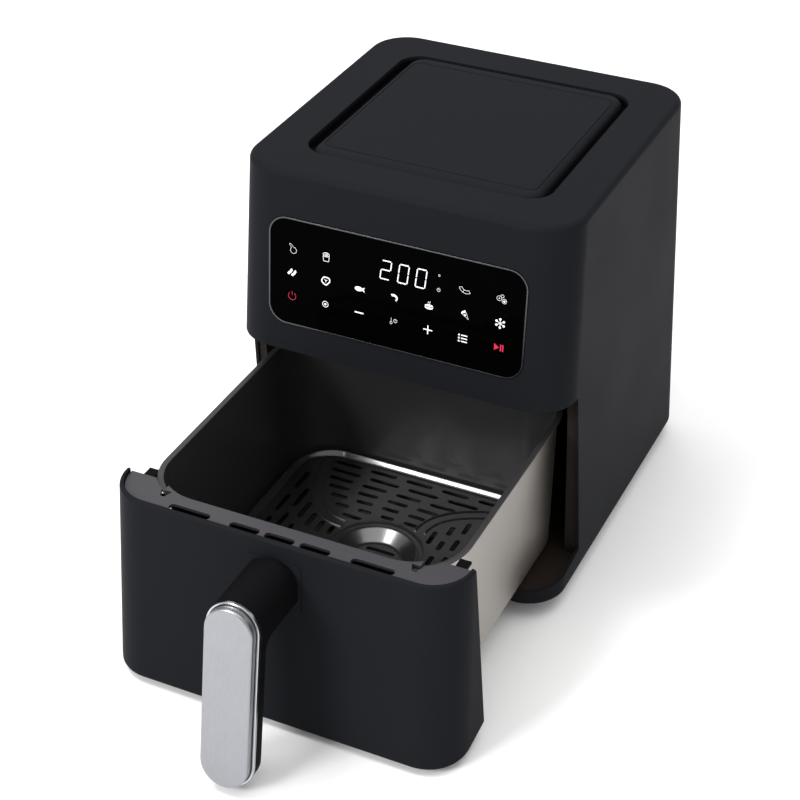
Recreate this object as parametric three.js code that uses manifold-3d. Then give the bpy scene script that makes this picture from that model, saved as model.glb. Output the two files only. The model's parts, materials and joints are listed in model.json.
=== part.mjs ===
// Basket-type air fryer, built as an assembly of separate solids. Millimetres, +Z up,
// +X to the viewer's right, the front faces -Y. z = 0 is the underside of the rubber feet.
import * as THREE from "three";
import { mergeVertices } from "three/addons/utils/BufferGeometryUtils.js";
import Module from "manifold-3d";

const wasm = await Module();
wasm.setup();

// ---------------------------------------------------------------- driving dimensions
const FOOT_H = 14; // underside of the shell above the table
const BODY_H = 300; // shell height without feet
const TOP_W = 252.5; // shell width at the top
const TOP_D = 249; // shell depth at the top
const SIDE_DRAFT = 0.0265; // each side leans out by this much per mm going down
const FRONT_DRAFT = 0.088;
const BACK_DRAFT = 0.073;
const CORNER_R = 30; // upright corners
const TOP_FILLET = 4;
const WALL = 2.6; // moulded outer shell
const SHEET = 1; // pressed steel
const FIT = 0.3; // clearance between neighbouring parts
const CORNER_STEPS = 5;

const TOP_Z = FOOT_H + BODY_H;
const SILL_Z = 25; // lower edge of the drawer opening
const LIP_Z = 175; // upper edge of the drawer opening
const OPEN_Y_TOP = -105; // rear edge of the side cut-out, at the lip
const OPEN_Y_BOTTOM = -93; // and at the sill
const PANEL_GAP = 1.3; // shut line round the closed drawer front

const DRAWER_OPEN = 176.8; // how far the drawer stands out at rest
const DRAWER_DROP = 21; // and how far the falling rails lower it there
const FRONT_WALL = 3;
const FRONT_TOP_Z = LIP_Z - 1.2;
const FRONT_BOTTOM_Z = SILL_Z + PANEL_GAP;
const FRONT_FLOOR = 2.6;
const TRIM_TOP_Z = FRONT_TOP_Z - 2.5;
const TRIM_T = 2.4;

const BASKET_TOP_Z = TRIM_TOP_Z - TRIM_T - 0.7;
const BASKET_BOTTOM_Z = 48;
const BASKET_RIM = { half: 112, front: -117.6, back: 113.6, r: 38.4 };
const BASKET_FOOT = { half: 110, front: -97, back: 113, r: 38 };
const BASKET_FILLET = 8;
const FLANGE_W = 3.6;
const FLANGE_T = 1.2;

const PLATE_HALF = 105;
const PLATE_FRONT = -93.2;
const PLATE_BACK = 110.8;
const PLATE_TOP_Z = BASKET_BOTTOM_Z + 11;
const PLATE_T = 1.5;
const PLATE_RIM_H = 4;
const DISH = { rim: 31.5, floor: 20.5, depth: 7 }; // sunk in the middle of the plate

const AXIS_Y = 0; // fan axis
const DECK_Z = LIP_Z + 1.3; // underside of the deck that closes the bay
const DECK_T = 2;
const DOME_Z = DECK_Z + DECK_T + FIT;
const DOME_TOP_Z = 214;
const SHIELD_TOP_Z = 222;
const SHAFT_R = 3;

const GRIP_R = 19.4; // half width of the handle
const GRIP_TOP = { y: -193.5, z: 144.6 }; // centre of the grip's upper round, drawer shut
const GRIP_BOTTOM = { y: -210.3, z: 44.6 };
const RIM_T = 3;
const COVER_T = 6;
const COVER_R = 16.7;
const GRIP_T = 7.5;

const GLASS_HALF = 97.2;
const GLASS_Z0 = 198;
const GLASS_Z1 = 278.8;
const GLASS_R = 13;
const GLASS_T = 2.2;
const BEZEL_W = 1.3;
const CARRIER_T = 2.8; // frame behind the glass
const CARRIER_GAP = 0.8;

// ---------------------------------------------------------------- materials
const paint = (color, roughness = 0.6, metalness = 0) =>
  new THREE.MeshStandardMaterial({ color, roughness, metalness });
const MAT = {
  shell: () => paint(0x2c2f35, 0.55),
  black: () => paint(0x17181a, 0.6),
  trim: () => paint(0x4a4850, 0.5),
  glass: () => paint(0x050506, 0.08),
  steel: () => paint(0xb9b7b2, 0.35, 1),
  nonstick: () => paint(0x2a292b, 0.45),
  silver: () => paint(0xd5d7da, 0.3, 1),
  rubber: () => paint(0x1a1a1a, 0.9),
  board: () => paint(0x1d5a34, 0.7),
  copper: () => paint(0x9a5a35, 0.4, 1),
};

// ---------------------------------------------------------------- geometry helpers
/** Points of a rounded rectangle, counter-clockwise from above, as [x, y] pairs. */
function roundRect(half, front, back, r, steps = CORNER_STEPS) {
  const corners = [
    [half - r, back - r, 0],
    [r - half, back - r, 90],
    [r - half, front + r, 180],
    [half - r, front + r, 270],
  ];
  return corners.flatMap(([cx, cy, start]) =>
    Array.from({ length: steps + 1 }, (_, i) => {
      const a = THREE.MathUtils.degToRad(start + (90 * i) / steps);
      return [cx + r * Math.cos(a), cy + r * Math.sin(a)];
    }),
  );
}

/** Closed solid through rings of equal point count, each { z, pts }, lowest first. */
function loft(rings) {
  const n = rings[0].pts.length;
  const pos = rings.flatMap(({ z, pts }) => pts.flatMap(([x, y]) => [x, y, z]));
  const idx = [];
  for (let k = 0; k + 1 < rings.length; k++) {
    for (let i = 0; i < n; i++) {
      const [a, b] = [k * n + i, k * n + ((i + 1) % n)];
      idx.push(a, b, b + n, a, b + n, a + n);
    }
  }
  [rings[0], rings.at(-1)].forEach(({ z, pts }, end) => {
    const mid = pos.length / 3;
    const mean = (c) => pts.reduce((sum, p) => sum + p[c], 0) / n;
    pos.push(mean(0), mean(1), z);
    const base = end * (rings.length - 1) * n;
    for (let i = 0; i < n; i++) {
      const [a, b] = [base + i, base + ((i + 1) % n)];
      idx.push(mid, ...(end ? [a, b] : [b, a]));
    }
  });
  const g = new THREE.BufferGeometry();
  g.setAttribute("position", new THREE.Float32BufferAttribute(pos, 3));
  g.setIndex(idx);
  return solid(g);
}

/** A manifold solid from a three.js geometry. */
function solid(geometry) {
  const bare = new THREE.BufferGeometry();
  bare.setAttribute("position", geometry.getAttribute("position"));
  if (geometry.index) bare.setIndex(geometry.index);
  const welded = mergeVertices(bare, 1e-4);
  const raw = Array.from(welded.index.array);
  const tris = [];
  for (let i = 0; i < raw.length; i += 3) {
    const [a, b, c] = raw.slice(i, i + 3);
    if (a !== b && b !== c && c !== a) tris.push(a, b, c);
  }
  const mesh = new wasm.Mesh({
    numProp: 3,
    vertProperties: new Float32Array(welded.getAttribute("position").array),
    triVerts: new Uint32Array(tris),
  });
  return new wasm.Manifold(mesh);
}

const union = (first, ...rest) => rest.reduce((a, b) => a.add(b), first);
const cut = (first, ...rest) => rest.reduce((a, b) => a.subtract(b), first);

/** A box given by its corner ranges. */
function box([x0, x1], [y0, y1], [z0, z1]) {
  const g = new THREE.BoxGeometry(x1 - x0, y1 - y0, z1 - z0);
  return solid(g.translate((x0 + x1) / 2, (y0 + y1) / 2, (z0 + z1) / 2));
}

/** An upright plate with rounded corners between two heights. */
const slab = (half, front, back, r, z0, z1) =>
  loft([z0, z1].map((z) => ({ z, pts: roundRect(half, front, back, r) })));

/** A turned solid about the Z axis through (x, y); profile is [radius, z] pairs from the axis. */
function turned(profile, x = 0, y = 0, segments = 20) {
  const pts = profile.map(([r, z]) => new THREE.Vector2(r, z));
  const g = new THREE.LatheGeometry(pts, segments).rotateX(Math.PI / 2);
  const m = solid(g);
  return (m.volume() < 0 ? flipped(g) : m).translate([x, y, 0]);
}

/** The same geometry with its triangles wound the other way. */
function flipped(geometry) {
  const g = geometry.clone();
  const a = g.index.array;
  for (let i = 0; i < a.length; i += 3) [a[i], a[i + 1]] = [a[i + 1], a[i]];
  return solid(g);
}

/** A rod of radius r about Z from z0 to z1. */
const rod = (r, z0, z1, x = 0, y = 0, segments = 16) =>
  turned([[0, z0], [r, z0], [r, z1], [0, z1]], x, y, segments);

/** Extrude a flat outline of [u, v] pairs along w; the axes name where u, v and w point. */
function prism(outline, from, to, axes) {
  const shape = new THREE.Shape(outline.map(([u, v]) => new THREE.Vector2(u, v)));
  const g = new THREE.ExtrudeGeometry(shape, { depth: to - from, bevelEnabled: false });
  g.translate(0, 0, from);
  g.applyMatrix4(axes);
  return solid(g);
}
const basis = (u, v, w) => new THREE.Matrix4().makeBasis(u, v, w);
const SIDEWAYS = basis(
  new THREE.Vector3(0, 1, 0),
  new THREE.Vector3(0, 0, 1),
  new THREE.Vector3(1, 0, 0),
); // outline in (y, z), extruded along +X
const FORWARD = basis(
  new THREE.Vector3(1, 0, 0),
  new THREE.Vector3(0, 0, 1),
  new THREE.Vector3(0, -1, 0),
); // outline in (x, z), extruded towards the front
const UPWARD = new THREE.Matrix4();

/** Matrix of a plane tilted back by `draft`, through (y, z): u = x, v = up the face, w = outward. */
function faceFrame(y, z, draft) {
  const up = new THREE.Vector3(0, draft, 1).normalize();
  const out = new THREE.Vector3(1, 0, 0).cross(up);
  return basis(new THREE.Vector3(1, 0, 0), up, out).setPosition(0, y, z);
}

/** Outline of an upright capsule of half width r between two centre heights. */
function capsule(r, v0, v1, steps = 10) {
  const arc = (cv, start) =>
    Array.from({ length: steps + 1 }, (_, i) => {
      const a = THREE.MathUtils.degToRad(start + (180 * i) / steps);
      return [r * Math.cos(a), cv + r * Math.sin(a)];
    });
  return [...arc(v1, 0), ...arc(v0, 180)];
}

/** Outline of a slot of overall length l and width w, centred on (u, v), along u. */
function slotOutline(u, v, l, w, steps = 3) {
  return capsule(w / 2, -(l - w) / 2, (l - w) / 2, steps).map(([a, b]) => [u + b, v - a]);
}

/** Radial copies of a solid about the fan axis. */
function around(count, make) {
  return Array.from({ length: count }, (_, i) => {
    const m = make(i).translate([0, -AXIS_Y, 0]);
    return m.rotate([0, 0, (360 / count) * i]).translate([0, AXIS_Y, 0]);
  });
}

// ---------------------------------------------------------------- shape of the body
const halfAt = (z) => TOP_W / 2 + SIDE_DRAFT * (TOP_Z - z);
const frontAt = (z) => -TOP_D / 2 - FRONT_DRAFT * (TOP_Z - z);
const backAt = (z) => TOP_D / 2 + BACK_DRAFT * (TOP_Z - z);

/** Ring of the tapered body at height z, moved in by inset. */
const bodyRing = (z, inset = 0, zAt = z) => ({
  z,
  pts: roundRect(
    halfAt(zAt) - inset,
    frontAt(zAt) + inset,
    backAt(zAt) - inset,
    Math.max(CORNER_R - inset, 1),
  ),
});

/** Solid of the body between two heights, moved in by inset. */
const bodySlice = (z0, z1, inset = 0) => loft([bodyRing(z0, inset), bodyRing(z1, inset)]);

/** The rear line of the side cut-out: y at height z. */
const openingY = (z) =>
  OPEN_Y_BOTTOM + ((OPEN_Y_TOP - OPEN_Y_BOTTOM) * (z - SILL_Z)) / (LIP_Z - SILL_Z);

const RAIL_SLOPE = DRAWER_DROP / DRAWER_OPEN;
/** A line that rises to the rear like the rails, through height z at the front face. */
const risingZ = (y, z) => z + (y - frontAt(z)) * RAIL_SLOPE;

/**
 * Side outline of the drawer opening, from a rising lower edge to height z1.
 * `lift` raises the lower edge and `shift` moves the rear line.
 */
function openingZone(lift, z1, shift = 0) {
  const z0 = SILL_Z + lift;
  const rear = openingY(z0) + shift;
  const outline = [
    [-400, z0], [frontAt(z0), z0], [rear, risingZ(rear, z0)], [openingY(z1) + shift, z1], [-400, z1],
  ];
  return prism(outline, -300, 300, SIDEWAYS);
}

const frontFace = faceFrame(frontAt((GLASS_Z0 + GLASS_Z1) / 2), (GLASS_Z0 + GLASS_Z1) / 2, FRONT_DRAFT);
const glassOutline = (grow) => {
  const v = (GLASS_Z1 - GLASS_Z0) / 2 + grow;
  return roundRect(GLASS_HALF + grow, -v, v, GLASS_R + grow);
};

const REAR = { half: 88, z0: 50, z1: 284, r: 10, lap: 8 };
const rearWindow = (grow) =>
  prism(
    roundRect(REAR.half + grow, REAR.z0 - grow, REAR.z1 + grow, REAR.r + grow),
    -200,
    -90,
    FORWARD,
  );
const DUCT = { half: 32, z0: 188, z1: 208 };
const GLAND = { x: 58, z: 78, r: 8, out: 12 };
const TRAY = { half: 93, depth: 91, r: 18, floor: 306 };
const rearScrewSpots = [-1, 1].flatMap((s) =>
  [REAR.z0 + 22, REAR.z1 - 22].map((z) => ({ x: s * (REAR.half + REAR.lap / 2), z })),
);

// ---------------------------------------------------------------- housing
function outerShell() {
  const fillet = [30, 60, 90].map((deg) => {
    const a = THREE.MathUtils.degToRad(deg);
    const z = TOP_Z - TOP_FILLET * (1 - Math.sin(a));
    return bodyRing(z, TOP_FILLET * (1 - Math.cos(a)));
  });
  const outside = loft([
    bodyRing(FOOT_H, 1.6),
    bodyRing(FOOT_H + 2.4),
    bodyRing(TOP_Z - TOP_FILLET),
    ...fillet,
  ]);
  const inside = bodySlice(FOOT_H - 2, TOP_Z - WALL, WALL);
  const window = prism(glassOutline(BEZEL_W + FIT), -12, 12, frontFace);
  const screwHoles = rearScrewSpots.map(({ x, z }) =>
    rod(1.9, -30, 30, 0, 0, 12).rotate([90, 0, 0]).translate([x, backAt(z), z]),
  );
  return cut(
    outside,
    inside,
    openingZone(0, LIP_Z),
    slab(TRAY.half, -TRAY.depth, TRAY.depth, TRAY.r, TOP_Z - 10, TOP_Z + 10),
    window,
    rearWindow(0),
    ...screwHoles,
  );
}

function rearCover() {
  const skin = cut(bodySlice(REAR.z0 - 20, REAR.z1 + 20), bodySlice(20, 312, WALL));
  const lap = cut(bodySlice(20, 312, WALL + FIT), bodySlice(10, 313, WALL + FIT + 1.8));
  const plug = skin.intersect(rearWindow(-0.4));
  const flange = lap.intersect(rearWindow(REAR.lap));
  const bridge = cut(bodySlice(20, 312, WALL - 0.2), bodySlice(10, 313, WALL + FIT + 0.5));
  const louvres = [0, 1, 2].map((i) => {
    const z = DUCT.z0 + 3 + 6 * i;
    return box([-DUCT.half + 4, DUCT.half - 4], [90, 200], [z, z + 3]);
  });
  const holes = rearScrewSpots.map(({ x, z }) =>
    rod(1.9, -30, 30, 0, 0, 12).rotate([90, 0, 0]).translate([x, backAt(z), z]),
  );
  const glandHole = rod(GLAND.r - 2, -30, 30).rotate([90, 0, 0])
    .translate([GLAND.x, backAt(GLAND.z), GLAND.z]);
  return cut(
    union(plug, flange, bridge.intersect(rearWindow(-0.4))),
    ...louvres,
    ...holes,
    glandHole,
  );
}

function cordGland() {
  const y = backAt(GLAND.z);
  const inner = WALL + FIT + 1.8 + 1.8;
  const profile = [
    [2.8, -9], [5.4, -9], [GLAND.r, -inner - 1.8], [GLAND.r, -inner],
    [GLAND.r - 2.3, -inner], [GLAND.r - 2.3, 1.4], [GLAND.r + 1, 1.4], [5, GLAND.out], [2.8, GLAND.out], [2.8, -9],
  ];
  return turned(profile, 0, 0, 18).rotate([-90, 0, 0]).translate([GLAND.x, y, GLAND.z]);
}

function exhaustDuct() {
  const [y0, y1] = [107, backAt(DUCT.z1) - WALL - 3.2];
  const outer = box([-DUCT.half, DUCT.half], [y0, y1], [DUCT.z0, DUCT.z1]);
  const bore = box([-DUCT.half + 1.5, DUCT.half - 1.5], [0, 200], [DUCT.z0 + 1.5, DUCT.z1 - 1.5]);
  return cut(outer, bore);
}

function topTray() {
  const { half, depth, r, floor } = TRAY;
  const flangeTop = TOP_Z - WALL - FIT;
  const body = union(
    slab(half + 7, -depth - 7, depth + 7, r + 7, flangeTop - 2, flangeTop),
    slab(half + 1.8, -depth - 1.8, depth + 1.8, r + 1.8, floor - 2, flangeTop),
  );
  const recess = slab(half - 0.2, -depth + 0.2, depth - 0.2, r - 0.2, floor, TOP_Z + 5);
  const vents = [-1, 1].flatMap((s) =>
    Array.from({ length: 9 }, (_, i) => {
      const y = -64 + 16 * i;
      return box([s * 90 - 1.6, s * 90 + 1.6], [y - 6, y + 6], [floor - 8, floor + 8]);
    }),
  );
  return cut(body, recess, ...vents);
}

function topPanel() {
  const [half, depth, r] = [86.5, TRAY.depth - 0.6, 13];
  const at = (z, inset) => ({
    z,
    pts: roundRect(half - inset, -depth + inset, depth - inset, Math.max(r - inset, 3)),
  });
  const body = loft([
    at(TRAY.floor + FIT, 0), at(310, 0), at(312, 0.9), at(313.3, 2.8), at(313.9, 5.2), at(314.2, 8),
  ]);
  const groove = cut(
    slab(81.3, -78.5, 78.5, 7, 313.7, 316),
    slab(80.6, -77.8, 77.8, 6.3, 313, 317),
  );
  return cut(body, groove);
}

const controlGlass = () => prism(glassOutline(0), -GLASS_T, 0.3, frontFace);
const controlBezel = () =>
  cut(
    prism(glassOutline(BEZEL_W), -GLASS_T - 0.6, 0.7, frontFace),
    prism(glassOutline(0.15), -6, 3, frontFace),
  );

function panelCarrier() {
  const v = (GLASS_Z1 - GLASS_Z0) / 2 + 6;
  const back = -WALL - CARRIER_GAP;
  const plate = prism(roundRect(GLASS_HALF + 3, -v, v, 14), back - CARRIER_T, back, frontFace);
  const opening = prism(roundRect(GLASS_HALF - 10, -v + 16, v - 16, 8), -20, 20, frontFace);
  return cut(plate, opening).intersect(bodySlice(150, TOP_Z - WALL - FIT, WALL + FIT));
}

function displayBoard() {
  const face = -WALL - CARRIER_GAP - CARRIER_T - 0.5;
  const board = prism(roundRect(82, -34, 34, 2), face - 1.6, face, frontFace);
  const display = prism(roundRect(30, 2, 24, 1), face - 0.1, face + 3.3, frontFace);
  const chip = prism(roundRect(7, -20, -8, 0.6), face - 4.3, face - 1.5, frontFace);
  return union(board, display, chip);
}

function powerBoard() {
  const x = -117;
  return union(
    box([x - 1.6, x], [-58, 58], [232, 292]),
    box([x - 0.1, x + 18], [-44, -20], [240, 262]),
    box([x - 0.1, x + 12], [-8, 10], [238, 252]),
    box([x - 0.1, x + 15], [24, 44], [262, 284]),
  );
}

// ---------------------------------------------------------------- base and bay
const FOOT_X = 92;
const footSpots = [-1, 1].flatMap((sx) => [-112, 108].map((y) => ({ x: sx * FOOT_X, y })));
const baseScrewSpots = [-1, 1].flatMap((sx) => [-70, 70].map((y) => ({ x: sx * 70, y })));
const TRAY_PLATE = { z0: 16.5, z1: 18.7 };
const LINER = { half: 123.5, back: 122, r: 26, floor: 24.5, t: 1.8, setback: 1.5 };

function baseTray() {
  const plate = bodySlice(TRAY_PLATE.z0, 21.5, WALL + 0.4);
  const well = bodySlice(TRAY_PLATE.z1, 30, WALL + 2.4);
  const holes = footSpots.map(({ x, y }) => rod(4, 0, 30, x, y));
  const screws = baseScrewSpots.map(({ x, y }) => rod(2.1, 0, 30, x, y, 12));
  const vents = [-1, 0, 1].map((i) => box([-40, 40], [i * 16 - 3, i * 16 + 3], [10, 30]));
  return cut(plate, well, ...holes, ...screws, ...vents);
}

const foot = ({ x, y }) =>
  turned(
    [[0, 0], [9.6, 0], [11, 1.4], [12, 16.2], [3.7, 16.2], [3.7, 18.9], [4.8, 19.4], [2.6, 21.8], [0, 21.8]],
    x,
    y,
  );

const baseScrew = ({ x, y }) =>
  turned([[0, 14.2], [3.6, 14.2], [3.6, 16.2], [1.8, 16.2], [1.8, 22.2], [0, 22.2]], x, y, 12);

/** Tray, side walls and rear wall of the bay, with cheeks that follow the side cut-out. */
function bayLiner() {
  const { half, back, r, floor, t, setback } = LINER;
  const top = DECK_Z - FIT;
  const ahead = (shift) => openingZone(-20, top + 30, shift);
  const sleeve = cut(
    slab(half, -200, back, r, floor - t, top),
    slab(half - t, -300, back - t, r - t, floor, top + 20),
    ahead(setback),
  );
  const apron = bodySlice(floor - t, floor, WALL + 0.4).intersect(ahead(setback + 1));
  const cheeks = cut(
    bodySlice(floor - t, top, WALL + 0.5).intersect(ahead(setback + t)),
    ahead(setback),
    box([-half + 1, half - 1], [-300, 300], [0, 300]),
  );
  const bosses = baseScrewSpots.map(({ x, y }) =>
    cut(rod(4.5, 18.9, floor - t + 0.2, x, y), rod(2, 18, 22.4, x, y, 12)),
  );
  return union(sleeve, apron, cheeks, ...bosses);
}

const RAIL_FRONT = -82;
const RAIL_REF = { y: 84, z: BASKET_TOP_Z - FLANGE_T - 0.4 }; // rear end of the flange, drawer shut
const railTop = (y) => RAIL_REF.z + (y - RAIL_REF.y) * RAIL_SLOPE;
function rail(side) {
  const [y0, y1] = [RAIL_FRONT, 96];
  const outline = [
    [y0, railTop(y0) - 4], [y1, railTop(y1) - 4], [y1, railTop(y1)], [y0, railTop(y0)],
  ];
  const inner = BASKET_RIM.half + 2;
  const outer = LINER.half - LINER.t - FIT;
  return side > 0
    ? prism(outline, inner, outer, SIDEWAYS)
    : prism(outline, -outer, -inner, SIDEWAYS);
}

// ---------------------------------------------------------------- heating chamber
const SWITCH = { x: 70, y: -121 };
const SENSOR_Z = 187.4;
const TERMINALS = [-14, 14];

function chamberDeck() {
  const plate = bodySlice(DECK_Z, DECK_Z + DECK_T, WALL + 0.5);
  const mouth = slab(99, AXIS_Y - 99, AXIS_Y + 99, 26, 150, 200);
  const side = REAR.half + REAR.lap + 1;
  const rear = box([-side, side], [backAt(DECK_Z) - WALL - 4, 200], [150, 200]);
  return cut(plate, mouth, rear, rod(3, 150, 200, SWITCH.x, SWITCH.y));
}

/** Hollow pressed dish, open below, with an outward flange. */
function dish(half, topHalf, z1, wall, flange) {
  const at = (h, z, r) => ({ z, pts: roundRect(h, AXIS_Y - h, AXIS_Y + h, r) });
  const z0 = DOME_Z + (flange ? 0 : SHEET + 2 * FIT);
  const outside = loft([at(half, z0, 26), at(topHalf, z1 - 4, 22), at(topHalf - 4, z1, 18)]);
  const w = wall;
  const inside = loft([
    at(half - w, z0 - 1, 26 - w), at(topHalf - w, z1 - 4 - w / 2, 22 - w), at(topHalf - 4 - w, z1 - w, 18 - w),
  ]);
  const rim = flange ? [slab(half + 12, AXIS_Y - half - 12, AXIS_Y + half + 12, 34, z0, z0 + SHEET)] : [];
  return cut(union(outside, ...rim), inside);
}

const sensorHole = (r) => rod(r, -160, -60).rotate([0, 90, 0]).translate([0, AXIS_Y, SENSOR_Z]);
function heaterDome() {
  return cut(
    dish(98, 86, DOME_TOP_Z, SHEET, true),
    rod(7, 150, 300, 0, AXIS_Y),
    ...TERMINALS.map((x) => rod(4.6, 195, 300, x, AXIS_Y + 78, 10)),
    sensorHole(2.6),
    box([-22, 22], [60, 150], [DUCT.z0 + 4, DUCT.z1 - 4]),
  );
}
function heatShield() {
  return cut(
    dish(104.5, 95, SHIELD_TOP_Z, SHEET, false),
    rod(9, 150, 300, 0, AXIS_Y),
    ...TERMINALS.map((x) => rod(6, 210, 300, x, AXIS_Y + 78, 10)),
    sensorHole(2.6),
    box([-24, 24], [80, 150], [DUCT.z0 + 3, DUCT.z1 - 3]),
  );
}

/** One bent tube: two facing C shapes joined at the back, with both ends turned up. */
function heatingElement() {
  const [z, outerR, innerR, tube] = [193, 77, 57, 2.8];
  const pts = [[TERMINALS[1], 78, 228], [TERMINALS[1], 78, 203]];
  const arc = (r, from, to, steps) => {
    for (let i = 0; i <= steps; i++) {
      const a = THREE.MathUtils.degToRad(from + ((to - from) * i) / steps);
      pts.push([r * Math.cos(a), r * Math.sin(a), z]);
    }
  };
  arc(outerR, 68, -74, 10);
  pts.push([(outerR + innerR) / 2 * Math.cos(-1.42), (outerR + innerR) / 2 * Math.sin(-1.42), z]);
  arc(innerR, -74, 254, 20);
  pts.push([-(outerR + innerR) / 2 * Math.cos(-1.42), (outerR + innerR) / 2 * Math.sin(-1.42), z]);
  arc(outerR, 254, 112, 10);
  pts.push([TERMINALS[0], 78, 203], [TERMINALS[0], 78, 228]);
  const path = new THREE.CatmullRomCurve3(pts.map((p) => new THREE.Vector3(...p)), false, "centripetal");
  const ring = new THREE.Shape(
    Array.from({ length: 6 }, (_, i) => {
      const a = (Math.PI / 3) * i;
      return new THREE.Vector2(tube * Math.cos(a), tube * Math.sin(a));
    }),
  );
  const g = new THREE.ExtrudeGeometry(ring, { steps: 84, extrudePath: path });
  const m = solid(g);
  return (m.volume() < 0 ? flippedSoup(g) : m).translate([0, AXIS_Y, 0]);
}

/** A non-indexed geometry wound the other way. */
function flippedSoup(geometry) {
  const g = mergeVertices(geometry.clone().deleteAttribute("normal").deleteAttribute("uv"), 1e-4);
  return flipped(g);
}

function wireGuard() {
  const z = 183.5;
  const hoop = (r) => {
    const g = new THREE.TorusGeometry(r, 1.2, 4, 24).translate(0, AXIS_Y, z);
    const m = solid(g);
    return m.volume() < 0 ? flipped(g) : m;
  };
  const spokes = [0, 90].map((deg) =>
    box([-91, 91], [-1.1, 1.1], [z - 1.1, z + 1.1]).rotate([0, 0, deg]).translate([0, AXIS_Y, 0]),
  );
  return union(hoop(24), hoop(46), hoop(68), hoop(88), ...spokes);
}

const temperatureSensor = () =>
  turned([[0, -117], [4, -117], [4, -108], [1.8, -108], [1.8, -70], [0, -68]], 0, 0, 12)
    .rotate([0, 90, 0])
    .translate([0, AXIS_Y, SENSOR_Z]);

const thermalFuse = () =>
  union(
    rod(3.4, -11, 11, 0, 0, 12).rotate([0, 90, 0]).translate([-52, AXIS_Y + 24, SHIELD_TOP_Z + 4.4]),
    box([-60, -44], [AXIS_Y + 20, AXIS_Y + 28], [SHIELD_TOP_Z + FIT, SHIELD_TOP_Z + 2.6]),
  );

// ---------------------------------------------------------------- motor and fans
const BRACKET_Z = SHIELD_TOP_Z + 6;
const STATOR = { z0: 232, z1: 252, r: 30, bore: 15.5 };
function motorBracket() {
  const strap = slab(52, AXIS_Y - 16, AXIS_Y + 16, 8, BRACKET_Z, BRACKET_Z + 2);
  const legs = [-1, 1].map((s) =>
    box([s * 44 - 5, s * 44 + 5], [AXIS_Y - 12, AXIS_Y + 12], [SHIELD_TOP_Z + FIT, BRACKET_Z + 0.1]),
  );
  return cut(union(strap, ...legs), rod(8, 200, 260, 0, AXIS_Y));
}
function motorStator() {
  const core = cut(
    slab(STATOR.r, AXIS_Y - STATOR.r, AXIS_Y + STATOR.r, 10, STATOR.z0, STATOR.z1),
    rod(STATOR.bore, 200, 300, 0, AXIS_Y, 20),
  );
  const coil = slab(22, AXIS_Y + 31, AXIS_Y + 50, 5, STATOR.z0 - 1, STATOR.z1 + 1);
  const yoke = box([-10, 10], [AXIS_Y + 24, AXIS_Y + 32], [STATOR.z0 + 2, STATOR.z1 - 2]);
  const spacers = [-1, 1].map((s) =>
    rod(3, BRACKET_Z + 2 + FIT, STATOR.z0 + 0.2, s * 22, AXIS_Y, 10),
  );
  return union(core, coil, yoke, ...spacers);
}
const rotorShaft = () =>
  turned(
    [
      [0, 198], [SHAFT_R, 198], [SHAFT_R, STATOR.z0 + 1], [14.5, STATOR.z0 + 1],
      [14.5, STATOR.z1 - 1], [SHAFT_R, STATOR.z1 - 1], [SHAFT_R, 266], [0, 266],
    ],
    0,
    AXIS_Y,
  );
function fan(r, hubR, z0, discT, bladeH, count) {
  const disc = union(
    rod(r, z0, z0 + discT, 0, AXIS_Y, 32),
    rod(hubR, z0 - 1, z0 + discT + bladeH, 0, AXIS_Y, 16),
  );
  const blades = around(count, () =>
    box([hubR - 1, r - 1], [AXIS_Y - 0.7, AXIS_Y + 0.7], [z0 + discT - 0.1, z0 + discT + bladeH]),
  );
  return cut(union(disc, ...blades), rod(SHAFT_R + 0.15, 100, 300, 0, AXIS_Y, 20));
}
const convectionFan = () => fan(68, 9, 203, 1, 6.5, 10);
const coolingFan = () => fan(42, 9, 255, 1.2, 8, 8);

// ---------------------------------------------------------------- drawer interlock
function interlockSwitch() {
  const z0 = DECK_Z + DECK_T + FIT;
  const body = box([SWITCH.x - 9, SWITCH.x + 9], [SWITCH.y - 6, SWITCH.y + 6], [z0, z0 + 14]);
  return cut(body, rod(2.6, 150, z0 + 11.5, SWITCH.x, SWITCH.y, 14));
}
const interlockPlunger = () => {
  const [x, y] = [SWITCH.x, SWITCH.y];
  return turned(
    [[0, TRIM_TOP_Z + 0.6], [1.6, TRIM_TOP_Z + 0.6], [2.2, TRIM_TOP_Z + 1.4], [2.2, 184.5], [0, 184.5]],
    x,
    y,
    14,
  );
};

// ---------------------------------------------------------------- drawer, drawn shut
function drawerFront() {
  const [z0, z1] = [FRONT_BOTTOM_Z, FRONT_TOP_Z];
  const outside = loft([
    bodyRing(z0, 2.5), bodyRing(z0 + 1, 0.8), bodyRing(z0 + 3), bodyRing(z1 - 3),
    bodyRing(z1 - 0.9, 0.7), bodyRing(z1, 2.2),
  ]);
  const inside = bodySlice(z0 - 1, z1 + 1, FRONT_WALL).intersect(
    openingZone(PANEL_GAP + FRONT_FLOOR, z1 + 2),
  );
  const holes = handleScrewSpots.map(({ x, z }) => forwardRod(2.2, 100, 200, x, z));
  return cut(outside, inside, ...holes).intersect(openingZone(PANEL_GAP, z1 + 1, -PANEL_GAP));
}

/** Solid of the basket's outline between two heights, grown by `grow`. */
function basketForm(z0, z1, grow) {
  const zf = BASKET_BOTTOM_Z + BASKET_FILLET;
  const at = (z) => {
    const t = (z - zf) / (BASKET_TOP_Z - FLANGE_T - zf);
    const mix = (key) => BASKET_FOOT[key] + (BASKET_RIM[key] - BASKET_FOOT[key]) * t;
    return {
      z,
      pts: roundRect(mix("half") + grow, mix("front") - grow, mix("back") + grow, mix("r") + grow),
    };
  };
  return { at, body: loft([at(z0), at(z1)]) };
}

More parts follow.
